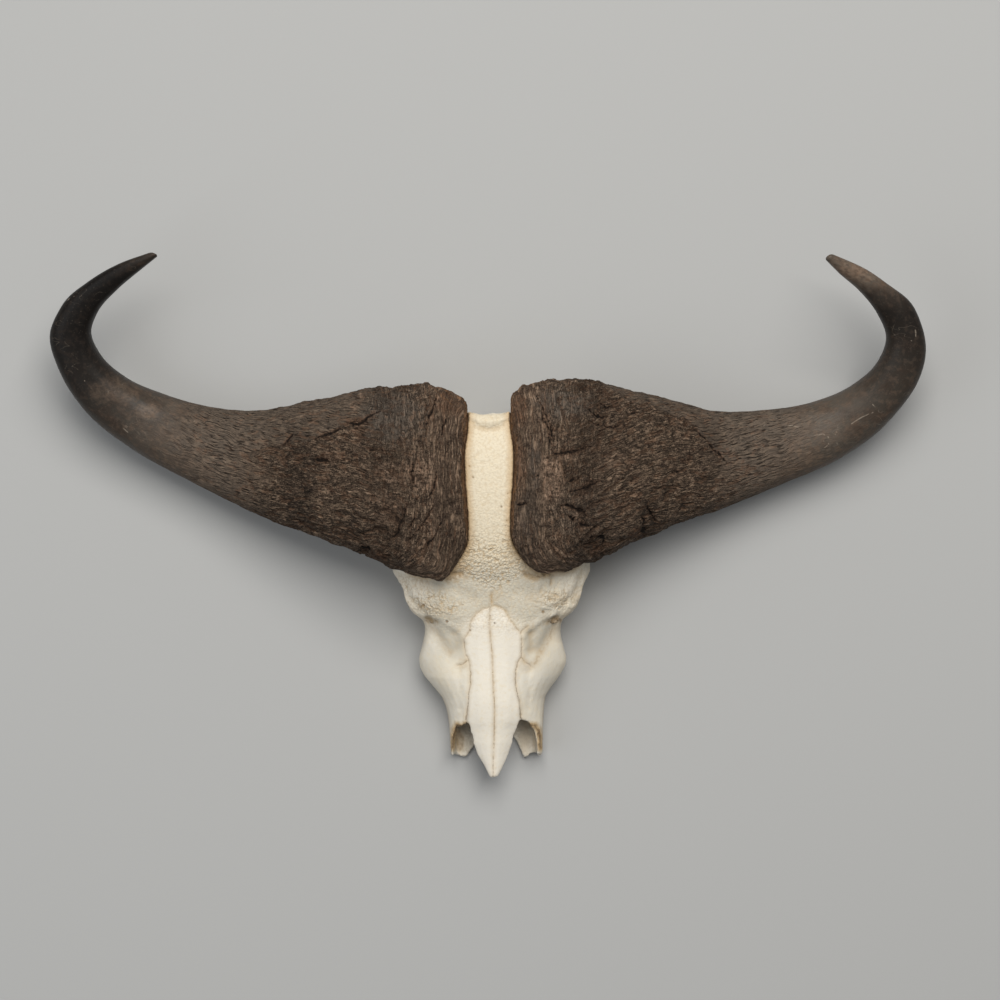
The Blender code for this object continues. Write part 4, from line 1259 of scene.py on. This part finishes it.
class BuffaloBoneProperties(bpy.types.PropertyGroup):
    """Relief and colours of the bone."""

    remesh_size: distance("Mesh size", "Size of the fine mesh's faces", 0.0017)
    seam_depth: relief_share("Seam depth", "Share of the full depth of the seams", 3.0)
    grain_height: relief_share("Rough brow", "Share of the full height of the grainy bone", 3.0)
    bump_height: distance("Fine grain", "Height of the finest grain", 0.0006)
    cream: tint("Cream", "Most of the bone", (0.835, 0.755, 0.605))
    cream_grey: tint("Grey cream", "Cooler parts", (0.80, 0.745, 0.635))
    cream_warm: tint("Warm cream", "Strip between the horns", (0.80, 0.70, 0.525))
    # Duller cream, painted shade on the forehead and beside the nose
    shaded_cream: tint("Dull cream", "Forehead", (0.585, 0.540, 0.440))
    cream_yellow: tint("Yellow cream", "Small warm spots", (0.78, 0.64, 0.42))
    nasal_pale: tint("Nasal bones", "Paler bones of the nose", (0.86, 0.80, 0.69))
    inner_grey: tint("Inside", "Bone inside the nose", (0.56, 0.48, 0.36))
    # Light brown of stains, also used for painted shade
    stain_and_shade: tint("Stain", "Light brown stain", (0.50, 0.36, 0.20))
    # Dark brown of specks and stains, also used for painted shade in the pits and under the bosses
    dark_stain_and_shade: tint("Dark stain", "Brown in the hollows", (0.25, 0.165, 0.09))
    # Dark brown of seams and broken edges, and painted shade in the small holes and along the horns
    seam_brown_and_shade: tint("Seams", "Seams and small holes", (0.13, 0.075, 0.038))
    edge_orange: tint("Horn edge", "Stain along the horns", (0.52, 0.34, 0.16))
    broken_brown: tint("Broken edges", "Broken bone at the nose", (0.46, 0.31, 0.14))


class BuffaloStageProperties(bpy.types.PropertyGroup):
    """Floor, light and camera."""

    floor_colour: tint("Floor", "Colour of the floor", (0.42, 0.42, 0.41))
    key_power: FloatProperty(
        name="Key light", description="Power of the main light", default=203.0, unit="POWER"
    )
    fill_power: FloatProperty(
        name="Fill light", description="Power of the fill light", default=26.0, unit="POWER"
    )
    sky: FloatProperty(
        name="Room light", description="Strength of the light from all round", default=0.20, min=0.0
    )
    camera_height: distance("Camera height", "Height over the floor", 3.0)
    lens: FloatProperty(name="Lens", description="Focal length", default=88.45, unit="CAMERA")


def packed_shell(name):
    """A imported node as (points, faces), to measure distance from."""
    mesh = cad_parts[name].data
    return [point.co.copy() for point in mesh.vertices], [tuple(face.vertices) for face in mesh.polygons]


class BuffaloHorns(bpy.types.Operator):
    """Make both horn sheaths, with their fibres, cracks, flakes and smooth hooks"""

    bl_idname = "object.buffalo_horns"
    bl_label = "Horn sheaths"
    bl_options = {"REGISTER", "UNDO"}

    def execute(self, context):
        """Build each sheath, set its finish and put it in its node's place."""
        finish = horn_finish()
        bone_tree = BVHTree.FromPolygons(*packed_shell("skull"))
        for name, table, side in (("horn_left", HORN_LEFT, -1), ("horn_right", HORN_RIGHT, 1)):
            grid, rim = horn_grid(table, side)
            grid, marks, places = weathering(name, side, grid, rim, bone_tree)
            mesh = sheath_mesh(name, grid, marks, places)
            mesh.materials.append(finish)
            piece = link_new(name + "_sheath", mesh)
            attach(piece, "root")
            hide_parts(name)
        return {"FINISHED"}


class BuffaloBone(bpy.types.Operator):
    """Make the bone, with its seams, holes, grainy brow and broken nose"""

    bl_idname = "object.buffalo_bone"
    bl_label = "Bone"
    bl_options = {"REGISTER", "UNDO"}

    def execute(self, context):
        """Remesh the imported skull, add its relief and finish, and put it in its node's place."""
        mesh = bone_mesh(context.scene.buffalo_bone.remesh_size)
        bone_relief(mesh, [packed_shell("horn_left"), packed_shell("horn_right")])
        mesh.materials.clear()
        mesh.materials.append(bone_finish())
        piece = link_new("skull_bone", mesh)
        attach(piece, "root")
        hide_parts("skull")
        return {"FINISHED"}


class BuffaloStage(bpy.types.Operator):
    """Make the floor, the soft lights and the camera"""

    bl_idname = "object.buffalo_stage"
    bl_label = "Stage"
    bl_options = {"REGISTER", "UNDO"}

    def execute(self, context):
        """Lay the floor, hang the lights and aim the camera."""
        looks = context.scene.buffalo_stage
        floor_mesh = bpy.data.meshes.new("floor")
        signs = ((-1, -1), (1, -1), (1, 1), (-1, 1))
        corners = [(x * FLOOR_REACH, y * FLOOR_REACH, -FLOOR_DROP) for x, y in signs]
        floor_mesh.from_pydata(corners, [], [(0, 1, 2, 3)])
        floor = link_new("floor", floor_mesh)
        paint = bpy.data.materials.new("pale_floor")
        paint.use_nodes = True
        shader = paint.node_tree.nodes["Principled BSDF"]
        shader.inputs["Base Color"].default_value = (*looks.floor_colour, 1.0)
        shader.inputs["Roughness"].default_value = FLOOR_ROUGHNESS
        floor_mesh.materials.append(paint)

        powers = {"key_light": looks.key_power, "fill_light": looks.fill_power}
        for name, (place, size, tone) in LIGHTS.items():
            lamp = bpy.data.lights.new(name, "AREA")
            lamp.energy = powers[name]
            lamp.size = size
            lamp.color = tone
            hung = link_new(name, lamp)
            hung.location = place
            hung.rotation_euler = (-Vector(place)).to_track_quat("-Z", "Y").to_euler()
        room = bpy.data.worlds.new("room")
        room.use_nodes = True
        background = room.node_tree.nodes["Background"]
        background.inputs["Color"].default_value = (*DAYLIGHT, 1.0)
        background.inputs["Strength"].default_value = looks.sky
        context.scene.world = room

        lens = bpy.data.cameras.new("camera")
        lens.lens = looks.lens
        lens.sensor_width = SENSOR_WIDTH
        lens.clip_start = NEAREST_VIEW
        camera = link_new("camera", lens)
        camera.location = (*CAMERA_OVER, looks.camera_height)
        context.scene.camera = camera
        context.scene.view_settings.view_transform = "Standard"
        return {"FINISHED"}


class BuffaloPanel(bpy.types.Panel):
    """The skull's sizes, colours and steps in the sidebar"""

    bl_idname = "VIEW3D_PT_buffalo_skull"
    bl_label = "Cape Buffalo Skull"
    bl_space_type = "VIEW_3D"
    bl_region_type = "UI"
    bl_category = "Skull"

    def draw(self, context):
        """List each step under its own settings."""
        for word, (_, step) in GROUPS.items():
            box = self.layout.box()
            settings = getattr(context.scene, word)
            for setting in settings.bl_rna.properties.keys():
                if setting not in ("rna_type", "name"):
                    box.prop(settings, setting)
            box.operator(step.bl_idname)


# The settings of each step, and the step itself
GROUPS = {
    "buffalo_horns": (BuffaloHornProperties, BuffaloHorns),
    "buffalo_bone": (BuffaloBoneProperties, BuffaloBone),
    "buffalo_stage": (BuffaloStageProperties, BuffaloStage),
}
CLASSES = [each for pair in GROUPS.values() for each in pair] + [BuffaloPanel]


def register():
    """Add the classes and the scene's settings."""
    for each in CLASSES:
        bpy.utils.register_class(each)
    for word, (settings, _) in GROUPS.items():
        setattr(bpy.types.Scene, word, PointerProperty(type=settings))


def unregister():
    """Take the classes and the settings away again."""
    for word in GROUPS:
        delattr(bpy.types.Scene, word)
    for each in reversed(CLASSES):
        bpy.utils.unregister_class(each)


def main():
    """Make the whole skull and its stage."""
    register()
    bpy.ops.object.buffalo_horns()
    bpy.ops.object.buffalo_bone()
    bpy.ops.object.buffalo_stage()


if __name__ == "__main__":
    main()
